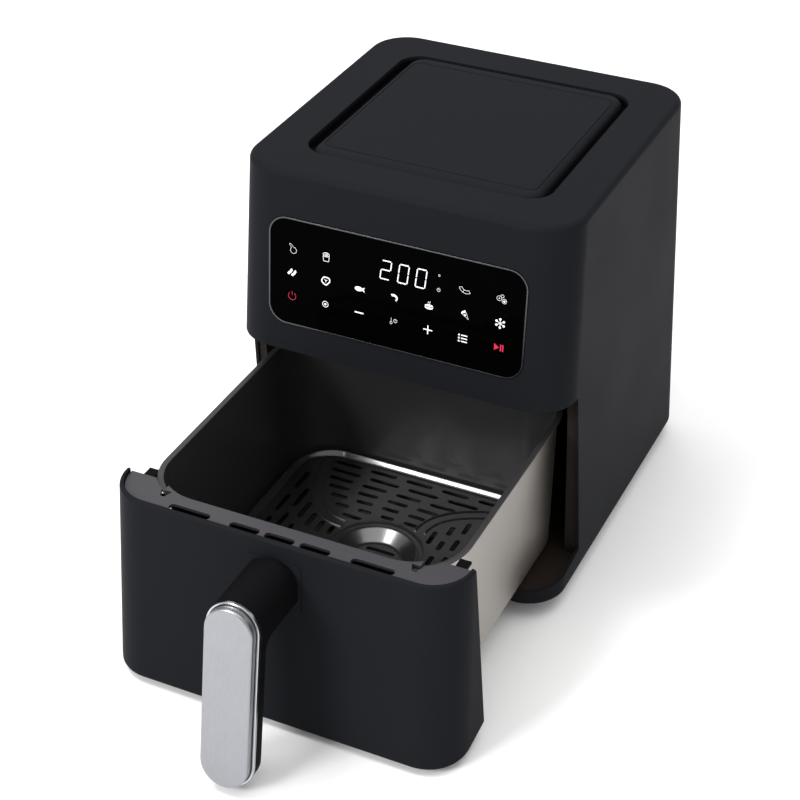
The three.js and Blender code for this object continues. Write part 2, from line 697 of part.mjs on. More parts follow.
function basket() {
  const zf = BASKET_BOTTOM_Z + BASKET_FILLET;
  const flangeZ = BASKET_TOP_Z - FLANGE_T;
  const bowl = (grow, lift, top) => {
    const { at } = basketForm(zf, top, grow);
    const foot = [0, 30, 60].map((deg) => {
      const a = THREE.MathUtils.degToRad(deg);
      const inset = BASKET_FILLET * (1 - Math.sin(a));
      const ring = basketForm(zf, top, grow - inset).at(zf);
      return { z: BASKET_BOTTOM_Z + lift + BASKET_FILLET * (1 - Math.cos(a)), pts: ring.pts };
    });
    return loft([...foot, at(zf + lift), at(top)]);
  };
  const { half, front, back, r } = BASKET_RIM;
  const flange = slab(
    half + FLANGE_W, front - FLANGE_W, back + FLANGE_W, r + FLANGE_W, flangeZ, BASKET_TOP_Z,
  );
  return cut(union(bowl(0, 0, flangeZ + 0.6), flange), bowl(-SHEET, SHEET, BASKET_TOP_Z + 2));
}

const TRIM_SLOT_W = 6.4;
const TRIM_SLOTS = [-67.5, -26, 0, 26, 67.5].map((x) => ({ x, l: Math.abs(x) > 50 ? 31 : 22 }));
function drawerTrim() {
  const [z0, z1] = [TRIM_TOP_Z - TRIM_T, TRIM_TOP_Z];
  const sheet = bodySlice(z0, z1, FRONT_WALL + 0.6).intersect(
    box([-200, 200], [-300, OPEN_Y_TOP - 0.4], [0, 300]),
  );
  const { half, front, back, r } = BASKET_RIM;
  const mouth = slab(half - SHEET, front + SHEET + 0.4, back, r - SHEET, z0 - 1, z1 + 1);
  const flange = slab(
    half + FLANGE_W + 0.4, front - FLANGE_W - 0.4, back, r + FLANGE_W + 0.4, z0 - 1, z1 + 1,
  ).intersect(union(...[-1, 1].map((s) => box([s * 145 - 50, s * 145 + 50], [-300, 300], [0, 300]))));
  const slots = TRIM_SLOTS.map(({ x, l }) =>
    prism(slotOutline(x, -128.6, l, TRIM_SLOT_W), z0 - 1, z1 + 1, UPWARD),
  );
  const skirt = cut(
    bodySlice(z0 - 6, z0 + 0.2, FRONT_WALL + 1),
    bodySlice(z0 - 8, z0 + 2, FRONT_WALL + 2.6),
  ).intersect(box([-200, 200], [-300, -118], [0, 300]));
  const notches = [-1, 1].map((side) => {
    const x = side * CLIP.x;
    const outline = [[x - 4, -115], [x - 1.5, -121.5], [x + 1.5, -121.5], [x + 4, -115]];
    return prism(outline, z0 - 1, z1 + 1, UPWARD);
  });
  return cut(union(cut(sheet, mouth, flange), skirt), ...slots, ...notches);
}

/** Inner panel that closes the back of the drawer front around the basket. */
function drawerBackPlate() {
  const z1 = TRIM_TOP_Z - TRIM_T - FIT;
  const lift = PANEL_GAP + FRONT_FLOOR + FIT;
  const zone = cut(
    openingZone(lift, z1, -PANEL_GAP - 0.4),
    openingZone(-20, z1 + 1, -PANEL_GAP - 2.6),
  );
  const sheet = bodySlice(FRONT_BOTTOM_Z, z1, FRONT_WALL + FIT).intersect(zone);
  const { half, front, back, r } = BASKET_RIM;
  const rim = slab(half + 5, front - 5, back, r + 4, BASKET_TOP_Z - 9, 300);
  return cut(sheet, basketForm(BASKET_BOTTOM_Z - 1.5, 300, 1.2).body, rim);
}

function basketBracket(side) {
  const [x0, x1] = [BASKET_RIM.half + 0.6, LINER.half - LINER.t - 1];
  const x = (a, b) => (side > 0 ? [a, b] : [-b, -a]);
  const z = BASKET_TOP_Z - FLANGE_T - FIT;
  return union(
    box(x(x0, x1), [-102.5, -92], [z - 2, z]),
    box(x(x0, x0 + 2), [-102.5, -92], [z - 8, z - 0.1]),
  );
}

const CLIP = { x: 93, half: 2.5, y: -121.9 };
/** Sheet-metal clip that ties the basket flange to the drawer front beside the trim. */
function basketClip(side) {
  const x = [side * CLIP.x - CLIP.half, side * CLIP.x + CLIP.half];
  const z = TRIM_TOP_Z - TRIM_T - 6.6;
  return union(box(x, [-130.5, CLIP.y], [z - 1.2, z]), box(x, [-130.5, -129.3], [z - 12, z]));
}

// ---------------------------------------------------------------- handle, drawn shut
const handleScrewSpots = [-9, 9].map((x) => ({ x, z: 144 }));
/** A rod pointing to the front at (x, z), between two distances ahead of the fan axis. */
const forwardRod = (r, d0, d1, x, z, segments = 12) =>
  rod(r, d0, d1, 0, 0, segments).rotate([90, 0, 0]).translate([x, 0, z]);

const gripUp = new THREE.Vector3(0, GRIP_TOP.y - GRIP_BOTTOM.y, GRIP_TOP.z - GRIP_BOTTOM.z);
const GRIP_LEN = gripUp.length();
gripUp.normalize();
const gripFrame = basis(
  new THREE.Vector3(1, 0, 0),
  gripUp,
  new THREE.Vector3(1, 0, 0).cross(gripUp),
).setPosition(0, GRIP_BOTTOM.y, GRIP_BOTTOM.z);

function escutcheon() {
  const zm = 143;
  const frame = faceFrame(frontAt(zm), zm, FRONT_DRAFT);
  const plate = prism(roundRect(20.5, -21, 18, 4), 0.2, 1.4, frame);
  return cut(plate, ...handleScrewSpots.map(({ x, z }) => forwardRod(2.2, 100, 200, x, z)));
}

/** Neck and grip as one side profile, trimmed to the capsule outline seen from the front. */
function handleBody() {
  const root = frontAt(GRIP_TOP.z) - 1.8;
  const [top, under] = [GRIP_TOP.z + GRIP_R, GRIP_TOP.z - 9.1];
  const slope = (GRIP_TOP.y - GRIP_BOTTOM.y) / (GRIP_TOP.z - GRIP_BOTTOM.z);
  const faceY = (z) => GRIP_TOP.y + (z - GRIP_TOP.z) * slope + RIM_T + FIT;
  const backY = (z) => faceY(z) + GRIP_T;
  const low = GRIP_BOTTOM.z - GRIP_R - 2;
  const archR = 11;
  const arch = Array.from({ length: 7 }, (_, i) => {
    const a = THREE.MathUtils.degToRad(180 - 15 * i);
    const cy = backY(under - archR) + archR;
    return [cy + archR * Math.cos(a), under - archR + archR * Math.sin(a)];
  });
  const side = [
    [root, top + 2], [faceY(top + 2), top + 2], [faceY(low), low], [backY(low) - 3, low],
    [backY(low + 8), low + 8], ...arch, [root, under],
  ];
  const outline = capsule(GRIP_R, GRIP_BOTTOM.z, GRIP_TOP.z);
  return cut(
    prism(side, -40, 40, SIDEWAYS).intersect(prism(outline, 100, 260, FORWARD)),
    bodySlice(30, 200, -1.7),
    ...handleScrewSpots.map(({ x, z }) => forwardRod(1.8, 100, 156, x, z)),
  );
}
const POCKET = 1.4;
const handleRim = () =>
  cut(
    prism(capsule(GRIP_R, 0, GRIP_LEN), -RIM_T, 0, gripFrame),
    prism(capsule(COVER_R + 0.5, 0, GRIP_LEN), -POCKET, 5, gripFrame),
  );
function handleCover() {
  const layers = [[COVER_R, FIT - POCKET, COVER_T - 1.6], [COVER_R - 1.2, COVER_T - 1.7, COVER_T]];
  return union(
    ...layers.map(([r, w0, w1]) => prism(capsule(r, 0, GRIP_LEN), w0, w1, gripFrame)),
  );
}
const handleScrew = ({ x, z }) => {
  const face = -frontAt(z) - FRONT_WALL;
  return union(
    forwardRod(3.6, face - 3.2, face - 0.8, x, z),
    forwardRod(1.6, face - 1, 154, x, z),
  );
};

// ---------------------------------------------------------------- crisper plate, drawer shut
const PLATE_MID = (PLATE_FRONT + PLATE_BACK) / 2;
const SLOT = { w: 4, gap: 8, pitch: 9.75, first: 31.5, rows: 7, perRow: 4 };
/** Ends of a row of slots at distance v from the middle, bounded by the swirl of the sectors. */
const rowStart = (v) => -77 + 35 * ((90 - v) / 58.5) ** 2;
const rowEnd = (v) => 16 + 52 * ((v - 41.5) / 48.5) ** 2;

/** Slots of the whole plate: one sector of parallel rows, turned four times. */
function plateSlots() {
  const through = [PLATE_TOP_Z - 12, PLATE_TOP_Z + 12];
  const slotRow = (v, u0, u1, n) => {
    const l = (u1 - u0 - SLOT.gap * (n - 1)) / n;
    return Array.from({ length: n }, (_, i) => {
      const u = u0 + i * (l + SLOT.gap);
      return box([u, u + l], [v - SLOT.w / 2, v + SLOT.w / 2], through);
    });
  };
  const sector = Array.from({ length: SLOT.rows }, (_, k) => {
    const v = SLOT.first + k * SLOT.pitch;
    if (k === 0) return slotRow(v, rowStart(v), rowStart(v) + 16, 1);
    return slotRow(v, rowStart(v), rowEnd(v), SLOT.perRow + (k === SLOT.rows - 1 ? 1 : 0));
  }).flat();
  const centre = [-1, 0, 1].flatMap((i) => slotRow(11 * i, i ? -12 : -16, i ? 12 : 16, 1));
  const quarters = [0, 90, 180, 270].flatMap((deg) => sector.map((m) => m.rotate([0, 0, deg])));
  return wasm.Manifold.union([...quarters, ...centre]).translate([0, PLATE_MID, 0]);
}

function crisperPlate() {
  const z = PLATE_TOP_Z;
  const rim = (inset, r) => [PLATE_HALF - inset, PLATE_FRONT + inset, PLATE_BACK - inset, r];
  const sheet = slab(...rim(0, 34), z - PLATE_T, z + PLATE_RIM_H);
  const well = loft([
    { z, pts: roundRect(...rim(5, 29)) },
    { z: z + PLATE_RIM_H - PLATE_T, pts: roundRect(...rim(2, 32)) },
    { z: z + PLATE_RIM_H + 1, pts: roundRect(...rim(1.2, 33)) },
  ]);
  const { rim: dishR, floor, depth } = DISH;
  const dishTurn = (profile) => turned(profile, 0, PLATE_MID, 28);
  const under = z - depth - PLATE_T;
  const bowl = dishTurn([[0, under], [floor + 1, under], [dishR + 1.5, z - 1], [0, z - 1]]);
  const hollow = dishTurn([[0, z - depth], [floor, z - depth], [dishR, z], [dishR, z + 1], [0, z + 1]]);
  return cut(union(cut(sheet, well), bowl), hollow, plateSlots());
}

const bumperSpots = [-1, 1].flatMap((sx) => [-1, 1].map((sy) => ({ sx, sy })));
/** Silicone shoe clipped under one corner of the plate. */
function plateBumper({ sx, sy }) {
  const [x, y] = [sx * 82, PLATE_MID + sy * 80];
  return rod(6, BASKET_BOTTOM_Z + SHEET + 0.2, PLATE_TOP_Z - PLATE_T - 0.2, x, y, 14);
}

const rearScrew = ({ x, z }) => {
  const y = backAt(z);
  return union(
    rod(3.4, 0.4, 2.6, 0, 0, 12).rotate([-90, 0, 0]).translate([x, y, z]),
    rod(1.6, -8, 0.6, 0, 0, 12).rotate([-90, 0, 0]).translate([x, y, z]),
  );
};

// ---------------------------------------------------------------- assembly
/** A named mesh of one solid. */
function part(name, body, material) {
  const { vertProperties, triVerts } = body.getMesh();
  const g = new THREE.BufferGeometry();
  g.setAttribute("position", new THREE.Float32BufferAttribute(vertProperties, 3));
  g.setIndex(Array.from(triVerts));
  g.computeVertexNormals();
  const mesh = new THREE.Mesh(g, material());
  mesh.name = name;
  return mesh;
}

/** The origin sits midway between the handle's front and whatever reaches furthest back. */
const frontReach = GRIP_BOTTOM.y - COVER_R * gripUp.y - COVER_T * gripUp.z - DRAWER_OPEN;
const rearReach = Math.max(backAt(FOOT_H), backAt(GLAND.z) + GLAND.out);
const Y_SHIFT = -(frontReach + rearReach) / 2;

function build() {
  const root = new THREE.Group();
  root.name = "air_fryer";
  root.position.y = Y_SHIFT;
  const drawer = new THREE.Group();
  drawer.name = "drawer_group";
  drawer.position.set(0, -DRAWER_OPEN, -DRAWER_DROP);
  root.add(drawer);

  root.add(
    part("outer_shell", outerShell(), MAT.shell),
    part("top_tray", topTray(), MAT.black),
    part("top_panel", topPanel(), MAT.shell),
    part("control_bezel", controlBezel(), MAT.silver),
    part("control_glass", controlGlass(), MAT.glass),
    part("panel_carrier", panelCarrier(), MAT.black),
    part("display_board", displayBoard(), MAT.board),
    part("power_board", powerBoard(), MAT.board),
    part("rear_cover", rearCover(), MAT.black),
    part("exhaust_duct", exhaustDuct(), MAT.steel),
    part("cord_gland", cordGland(), MAT.rubber),
    part("base_tray", baseTray(), MAT.black),
    part("bay_liner", bayLiner(), MAT.black),
    part("rail_left", rail(-1), MAT.black),
    part("rail_right", rail(1), MAT.black),
    part("chamber_deck", chamberDeck(), MAT.steel),
    part("heater_dome", heaterDome(), MAT.steel),
    part("heat_shield", heatShield(), MAT.steel),
    part("heating_element", heatingElement(), MAT.steel),
    part("wire_guard", wireGuard(), MAT.steel),
    part("temperature_sensor", temperatureSensor(), MAT.steel),
    part("thermal_fuse", thermalFuse(), MAT.steel),
    part("motor_bracket", motorBracket(), MAT.steel),
    part("motor_stator", motorStator(), MAT.copper),
    part("rotor_shaft", rotorShaft(), MAT.steel),
    part("convection_fan", convectionFan(), MAT.steel),
    part("cooling_fan", coolingFan(), MAT.black),
    part("interlock_switch", interlockSwitch(), MAT.black),
    part("interlock_plunger", interlockPlunger(), MAT.rubber),
  );
  footSpots.forEach((spot, i) => root.add(part(`foot_${i + 1}`, foot(spot), MAT.rubber)));
  baseScrewSpots.forEach((s, i) => root.add(part(`base_screw_${i + 1}`, baseScrew(s), MAT.steel)));
  rearScrewSpots.forEach((s, i) => root.add(part(`rear_screw_${i + 1}`, rearScrew(s), MAT.steel)));

  drawer.add(
    part("drawer_front", drawerFront(), MAT.shell),
    part("drawer_trim", drawerTrim(), MAT.trim),
    part("drawer_back_plate", drawerBackPlate(), MAT.black),
    part("basket", basket(), MAT.nonstick),
    part("basket_bracket_left", basketBracket(-1), MAT.black),
    part("basket_bracket_right", basketBracket(1), MAT.black),
    part("basket_clip_left", basketClip(-1), MAT.steel),
    part("basket_clip_right", basketClip(1), MAT.steel),
    part("handle_escutcheon", escutcheon(), MAT.black),
    part("handle_body", handleBody(), MAT.black),
    part("handle_rim", handleRim(), MAT.silver),
    part("handle_cover", handleCover(), MAT.silver),
    part("crisper_plate", crisperPlate(), MAT.nonstick),
  );
  handleScrewSpots.forEach((s, i) =>
    drawer.add(part(`handle_screw_${i + 1}`, handleScrew(s), MAT.steel)),
  );
  bumperSpots.forEach((s, i) => drawer.add(part(`plate_bumper_${i + 1}`, plateBumper(s), MAT.rubber)));
  return root;
}

export default build();
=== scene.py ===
"""Looks of a basket air fryer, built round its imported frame. Shapes are drawn in millimetres with the
drawer shut and the fan axis on y = 0, then moved to metres and to the drawer's place."""

import json
import math
from types import SimpleNamespace

import bmesh
import bpy
from bpy.props import FloatProperty, FloatVectorProperty, IntProperty, PointerProperty
from mathutils import Matrix, Vector


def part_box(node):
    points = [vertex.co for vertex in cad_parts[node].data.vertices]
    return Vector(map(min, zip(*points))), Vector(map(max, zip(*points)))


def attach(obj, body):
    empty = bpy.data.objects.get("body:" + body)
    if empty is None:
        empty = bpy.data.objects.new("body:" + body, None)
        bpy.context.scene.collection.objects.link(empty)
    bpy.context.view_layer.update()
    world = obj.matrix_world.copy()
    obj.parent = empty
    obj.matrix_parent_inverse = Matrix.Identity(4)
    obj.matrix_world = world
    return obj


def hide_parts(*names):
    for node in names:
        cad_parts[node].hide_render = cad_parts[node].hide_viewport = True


bl_info = {
    "name": "Air fryer looks",
    "version": (1, 0, 0),
    "blender": (4, 5, 0),
    "location": "View3D > Sidebar > Air fryer",
    "description": "Builds the finished surfaces of a basket air fryer around its frame",
    "category": "Object",
}

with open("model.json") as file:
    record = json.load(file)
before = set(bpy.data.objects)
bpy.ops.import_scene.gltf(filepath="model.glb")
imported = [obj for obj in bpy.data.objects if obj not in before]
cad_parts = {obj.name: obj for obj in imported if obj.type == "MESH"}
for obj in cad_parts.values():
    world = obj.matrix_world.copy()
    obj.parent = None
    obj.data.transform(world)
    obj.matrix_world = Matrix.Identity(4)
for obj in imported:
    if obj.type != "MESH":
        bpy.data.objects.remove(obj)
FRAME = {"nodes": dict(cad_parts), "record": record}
MM = 0.001


# ---------------------------------------------------------------- sizes
def length(name, description, default):
    """A length property in metres."""
    return FloatProperty(name=name, description=description, default=default, unit="LENGTH")


class FryerSizes(bpy.types.PropertyGroup):
    """Sizes the finished surfaces share with the frame."""

    foot: length("Foot height", "Underside of the body above the table", 0.014)
    height: length("Body height", "Body without its feet", 0.300)
    top_width: length("Top width", "Width of the body at its top", 0.2525)
    top_depth: length("Top depth", "Depth of the body at its top", 0.249)
    corner: length("Corner radius", "Radius of the upright corners", 0.030)
    wall: length("Wall", "Thickness of the body's wall", 0.0026)
    top_fillet: length("Top fillet", "Radius of the edge round the top", 0.0045)
    sill: length("Sill height", "Lower edge of the drawer opening", 0.025)
    lip: length("Lip height", "Upper edge of the drawer opening", 0.175)
    gap: length("Panel gap", "Shut line round the closed drawer front", 0.0013)
    travel: length("Drawer out", "How far the drawer stands out at rest", 0.1768)
    drop: length("Drawer drop", "How far the rails lower the drawer at rest", 0.021)
    basket_floor: length("Basket floor", "Underside of the basket, drawer shut", 0.048)
    basket_top: length("Basket rim", "Top of the basket's flange, drawer shut", 0.1682)
    plate_top: length("Plate height", "Top of the crisping plate, drawer shut", 0.059)
    grip: length("Grip half width", "Half the width of the handle", 0.0194)
    side_draft: FloatProperty(name="Side draft", description="Lean of the sides", default=0.0265)
    front_draft: FloatProperty(name="Front draft", description="Lean of the front", default=0.088)
    back_draft: FloatProperty(name="Back draft", description="Lean of the back", default=0.073)
    corner_steps: IntProperty(name="Corner steps", description="Facets of a corner", default=14)


def color(name, description, default):
    """A base colour property."""
    return FloatVectorProperty(
        name=name, description=description, default=default, subtype="COLOR", min=0, max=1
    )


class FryerColors(bpy.types.PropertyGroup):
    """Base colours of the finishes."""

    shell: color("Shell", "Soft dark plastic of the body and the drawer front", (0.0105, 0.0110, 0.0132))
    trim: color("Trim", "Satin plate behind the drawer front", (0.033, 0.031, 0.036))
    plastic: color("Black plastic", "Handle, tray and back", (0.0040, 0.0040, 0.0046))
    liner: color("Bay liner", "Lining of the drawer bay", (0.020, 0.0155, 0.0135))
    window: color("Window", "Glass over the display", (0.0006, 0.0006, 0.0008))
    nonstick: color("Non-stick", "Coating inside the basket", (0.026, 0.0242, 0.0255))
    plate: color("Plate coating", "Gloss coating of the crisping plate", (0.014, 0.0135, 0.0135))
    steel: color("Basket steel", "Outside of the basket", (0.37, 0.345, 0.315))
    silver: color("Brushed silver", "Plate of the handle", (0.295, 0.298, 0.318))
    mark: color("Lit marks", "Signs and digits behind the window", (0.86, 0.93, 1.0))
    red_mark: color("Red marks", "Power and start signs", (1.0, 0.02, 0.11))


def sizes():
    """The lengths in millimetres, the rest as they are."""
    group = bpy.context.scene.air_fryer
    out = SimpleNamespace()
    for key, prop in group.bl_rna.properties.items():
        if key in FryerSizes.__annotations__:
            value = getattr(group, key)
            setattr(out, key, round(value / MM, 4) if prop.unit == "LENGTH" else value)
    out.top = out.foot + out.height
    out.front_top = out.lip - 1.2
    out.front_bottom = out.sill + out.gap
    out.slope = out.drop / out.travel
    return out


# ---------------------------------------------------------------- outlines
def round_rect(half, front, back, r, steps=None):
    """Points of a rounded rectangle, counter-clockwise."""
    steps = steps or sizes().corner_steps
    r = max(r, 0.05)
    corners = (
        (half - r, back - r, 0),
        (r - half, back - r, 90),
        (r - half, front + r, 180),
        (half - r, front + r, 270),
    )
    turns = [(cx, cy, math.radians(a + 90 * i / steps)) for cx, cy, a in corners for i in range(steps + 1)]
    return [(cx + r * math.cos(a), cy + r * math.sin(a)) for cx, cy, a in turns]


def circle(r, y=0.0):
    """Points of a circle with as many points as a rounded rectangle."""
    return [(u, v + y) for u, v in round_rect(r, -r, r, r - 0.01)]


def capsule(r, v0, v1, steps=24):
    """An upright stadium outline between two centres."""
    ends = ((v1, 0), (v0, 180))
    turns = [(c, math.radians(a + 180 * i / steps)) for c, a in ends for i in range(steps + 1)]
    return [(r * math.cos(a), c + r * math.sin(a)) for c, a in turns]


def half_at(z):
    """Half the body's width at height z."""
    s = sizes()
    return s.top_width / 2 + s.side_draft * (s.top - z)


def front_at(z):
    """Depth of the body's front face at height z."""
    s = sizes()
    return -s.top_depth / 2 - s.front_draft * (s.top - z)


def back_at(z):
    """Depth of the body's rear face at height z."""
    s = sizes()
    return s.top_depth / 2 + s.back_draft * (s.top - z)


def body_ring(z, inset=0.0):
    """Outline of the tapered body at height z, moved in by inset."""
    r = max(sizes().corner - inset, 1)
    return z, round_rect(half_at(z) - inset, front_at(z) + inset, back_at(z) - inset, r)


def rounded_end(z, r, up, steps=6):
    """Body rings of a rounded edge ending at height z: heights and insets of a quarter circle."""
    angles = [math.radians(90 * i / steps) for i in range(steps + 1)]
    rings = [(z - r * (1 - math.sin(a)), r * (1 - math.cos(a))) for a in angles]
    if up:
        return [body_ring(h, inset) for h, inset in rings]
    return [body_ring(2 * z - h, inset) for h, inset in reversed(rings)]


# ---------------------------------------------------------------- solids
def basis(u, v, w, at=(0, 0, 0)):
    """Matrix whose columns are the three directions, moved to a point."""
    m = Matrix((u, v, w)).transposed().to_4x4()
    m.translation = Vector(at)
    return m


SIDEWAYS = basis((0, 1, 0), (0, 0, 1), (1, 0, 0))
FORWARD = basis((1, 0, 0), (0, 0, 1), (0, -1, 0))
UPRIGHT = Matrix.Identity(4)


def leaning(y, z, draft):
    """Frame of a leaning face: u across, v up the face, w outwards."""
    up = Vector((0, draft, 1)).normalized()
    return basis((1, 0, 0), up, Vector((1, 0, 0)).cross(up), (0, y, z))


def make(name, verts, faces):
    """An object from vertices and faces, with doubles merged and faces outward."""
    mesh = bpy.data.meshes.new(name)
    mesh.from_pydata([tuple(v) for v in verts], [], faces)
    bm = bmesh.new()
    bm.from_mesh(mesh)
    bmesh.ops.remove_doubles(bm, verts=bm.verts, dist=1e-4)
    bmesh.ops.dissolve_degenerate(bm, edges=bm.edges, dist=1e-5)
    bmesh.ops.recalc_face_normals(bm, faces=bm.faces)
    bm.to_mesh(mesh)
    bm.free()
    obj = bpy.data.objects.new(name, mesh)
    bpy.context.scene.collection.objects.link(obj)
    return obj


def loft(name, rings, matrix=UPRIGHT):
    """Closed solid through rings (w, outline) of equal point count."""
    n = len(rings[0][1])
    verts = [matrix @ Vector((u, v, w)) for w, outline in rings for u, v in outline]
    faces = [list(reversed(range(n))), [(len(rings) - 1) * n + i for i in range(n)]]
    for k in range(len(rings) - 1):
        for i in range(n):
            j = (i + 1) % n
            faces.append([k * n + i, k * n + j, (k + 1) * n + j, (k + 1) * n + i])
    return make(name, verts, faces)


def prism(name, outline, w0, w1, matrix=UPRIGHT):
    """An outline extruded between two distances."""
    return loft(name, [(w0, outline), (w1, outline)], matrix)


def block(name, x, y, z):
    """A box from three ranges."""
    return prism(name, [(x[0], y[0]), (x[1], y[0]), (x[1], y[1]), (x[0], y[1])], *z)


def baked(obj):
    """Turns the object's modifiers into its plain mesh."""
    graph = bpy.context.evaluated_depsgraph_get()
    mesh = bpy.data.meshes.new_from_object(obj.evaluated_get(graph), depsgraph=graph)
    obj.modifiers.clear()
    obj.data = mesh
    return obj


def combine(obj, tools, operation):
    """Boolean of the object with each tool, which is used up."""
    for tool in tools:
        mod = obj.modifiers.new("shape", "BOOLEAN")
        mod.operation = operation
        mod.solver = "EXACT"
        mod.object = tool
        baked(obj)
        bpy.data.objects.remove(tool)
    return obj


def carve(obj, *tools):
    return combine(obj, tools, "DIFFERENCE")


def trim_to(obj, *tools):
    return combine(obj, tools, "INTERSECT")


def joined(name, objs):
    """One object out of several, without boolean work."""
    bm = bmesh.new()
    for obj in objs:
        bm.from_mesh(obj.data)
        bpy.data.objects.remove(obj)
    mesh = bpy.data.meshes.new(name)
    bm.to_mesh(mesh)
    bm.free()
    out = bpy.data.objects.new(name, mesh)
    bpy.context.scene.collection.objects.link(out)
    return out


def eased(obj, width, angle=35, segments=3):
    """Softens every edge sharper than the angle."""
    mod = obj.modifiers.new("ease", "BEVEL")
    mod.width, mod.segments = width, segments
    mod.limit_method = "ANGLE"
    mod.angle_limit = math.radians(angle)
    mod.miter_outer = "MITER_ARC"
    return baked(obj)


def finished(obj, material, body, node, angle=32):
    """Moves a piece from its drawing place to the frame, shades it and stands it in for a node."""
    s = sizes()
    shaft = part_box("rotor_shaft")
    shift = Vector((0, (shaft[0].y + shaft[1].y) / 2, 0))
    if body in ("drawer", "crisper"):
        shift += Vector((0, -s.travel, -s.drop)) * MM
    obj.data.transform(Matrix.Translation(shift) @ Matrix.Scale(MM, 4))
    obj.data.shade_smooth()
    obj.data.set_sharp_from_angle(angle=math.radians(angle))
    if not obj.data.materials:
        obj.data.materials.append(material)
    obj.modifiers.new("even_shading", "WEIGHTED_NORMAL").keep_sharp = True
    baked(obj)
    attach(obj, body)
    if node:
        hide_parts(node)
    return obj


# ---------------------------------------------------------------- node groups
def sweep_group():
    """Node group: round tubes along curves, as one plain mesh."""
    name = "tubes_along_curves"
    if name in bpy.data.node_groups:
        return bpy.data.node_groups[name]
    group = bpy.data.node_groups.new(name, "GeometryNodeTree")
    face = group.interface
    face.new_socket("Curves", in_out="INPUT", socket_type="NodeSocketGeometry")
    face.new_socket("Radius", in_out="INPUT", socket_type="NodeSocketFloat")
    face.new_socket("Material", in_out="INPUT", socket_type="NodeSocketMaterial")
    face.new_socket("Mesh", in_out="OUTPUT", socket_type="NodeSocketGeometry")
    nodes, links = group.nodes, group.links
    enter, leave = nodes.new("NodeGroupInput"), nodes.new("NodeGroupOutput")
    ring = nodes.new("GeometryNodeCurvePrimitiveCircle")
    ring.inputs["Resolution"].default_value = 8
    tube = nodes.new("GeometryNodeCurveToMesh")
    tube.inputs["Fill Caps"].default_value = True
    real = nodes.new("GeometryNodeRealizeInstances")
    paint = nodes.new("GeometryNodeSetMaterial")
    links.new(enter.outputs["Radius"], ring.inputs["Radius"])
    links.new(enter.outputs["Curves"], tube.inputs["Curve"])
    links.new(ring.outputs["Curve"], tube.inputs["Profile Curve"])
    links.new(tube.outputs["Mesh"], real.inputs["Geometry"])
    links.new(real.outputs["Geometry"], paint.inputs["Geometry"])
    links.new(enter.outputs["Material"], paint.inputs["Material"])
    links.new(paint.outputs["Geometry"], leave.inputs["Mesh"])
    return group


def repeat_group():
    """Node group: one mesh placed on every point, turned and stretched by the point's attributes."""
    name = "copies_on_points"
    if name in bpy.data.node_groups:
        return bpy.data.node_groups[name]
    group = bpy.data.node_groups.new(name, "GeometryNodeTree")
    face = group.interface
    face.new_socket("Points", in_out="INPUT", socket_type="NodeSocketGeometry")
    face.new_socket("Copied", in_out="INPUT", socket_type="NodeSocketObject")
    face.new_socket("Material", in_out="INPUT", socket_type="NodeSocketMaterial")
    face.new_socket("Mesh", in_out="OUTPUT", socket_type="NodeSocketGeometry")
    nodes, links = group.nodes, group.links
    enter, leave = nodes.new("NodeGroupInput"), nodes.new("NodeGroupOutput")
    source = nodes.new("GeometryNodeObjectInfo")
    place = nodes.new("GeometryNodeInstanceOnPoints")
    for key, socket in (("turn", "Rotation"), ("stretch", "Scale")):
        read = nodes.new("GeometryNodeInputNamedAttribute")
        read.data_type = "FLOAT_VECTOR"
        read.inputs["Name"].default_value = key
        links.new(read.outputs["Attribute"], place.inputs[socket])
    real = nodes.new("GeometryNodeRealizeInstances")
    paint = nodes.new("GeometryNodeSetMaterial")
    links.new(enter.outputs["Points"], place.inputs["Points"])
    links.new(enter.outputs["Copied"], source.inputs["Object"])
    links.new(source.outputs["Geometry"], place.inputs["Instance"])
    links.new(place.outputs["Instances"], real.inputs["Geometry"])
    links.new(real.outputs["Geometry"], paint.inputs["Geometry"])
    links.new(enter.outputs["Material"], paint.inputs["Material"])
    links.new(paint.outputs["Geometry"], leave.inputs["Mesh"])
    return group


def set_inputs(mod, **values):
    """Sets a nodes modifier's inputs by their names."""
    for item in mod.node_group.interface.items_tree:
        if item.item_type == "SOCKET" and item.in_out == "INPUT" and item.name in values:
            mod[item.identifier] = values[item.name]


def sweep(name, paths, radius, material):
    """Round tubes along 3-D paths, each a list of points."""
    curve = bpy.data.curves.new(name, "CURVE")
    curve.dimensions = "3D"
    for path in paths:
        spline = curve.splines.new("POLY")
        spline.points.add(len(path) - 1)
        for point, co in zip(spline.points, path):
            point.co = (*co, 1)
    source = bpy.data.objects.new(name + "_paths", curve)
    bpy.context.scene.collection.objects.link(source)
    mod = source.modifiers.new("tubes", "NODES")
    mod.node_group = sweep_group()
    set_inputs(mod, Radius=radius, Material=material)
    graph = bpy.context.evaluated_depsgraph_get()
    mesh = bpy.data.meshes.new_from_object(source.evaluated_get(graph), depsgraph=graph)
    bpy.data.objects.remove(source)
    out = bpy.data.objects.new(name, mesh)
    bpy.context.scene.collection.objects.link(out)
    return out


def copies(name, unit, places, material=None):
    """The unit object on every place (point, turn about Z, stretch); the unit is used up."""
    mesh = bpy.data.meshes.new(name)
    mesh.from_pydata([p for p, _, _ in places], [], [])
    for key, values in (
        ("turn", [(0, 0, t) for _, t, _ in places]),
        ("stretch", [s for _, _, s in places]),
    ):
        layer = mesh.attributes.new(key, "FLOAT_VECTOR", "POINT")
        for item, value in zip(layer.data, values):
            item.vector = value
    obj = bpy.data.objects.new(name, mesh)
    bpy.context.scene.collection.objects.link(obj)
    mod = obj.modifiers.new("copies", "NODES")
    mod.node_group = repeat_group()
    set_inputs(mod, Copied=unit, Material=material)
    baked(obj)
    bpy.data.objects.remove(unit)
    return obj


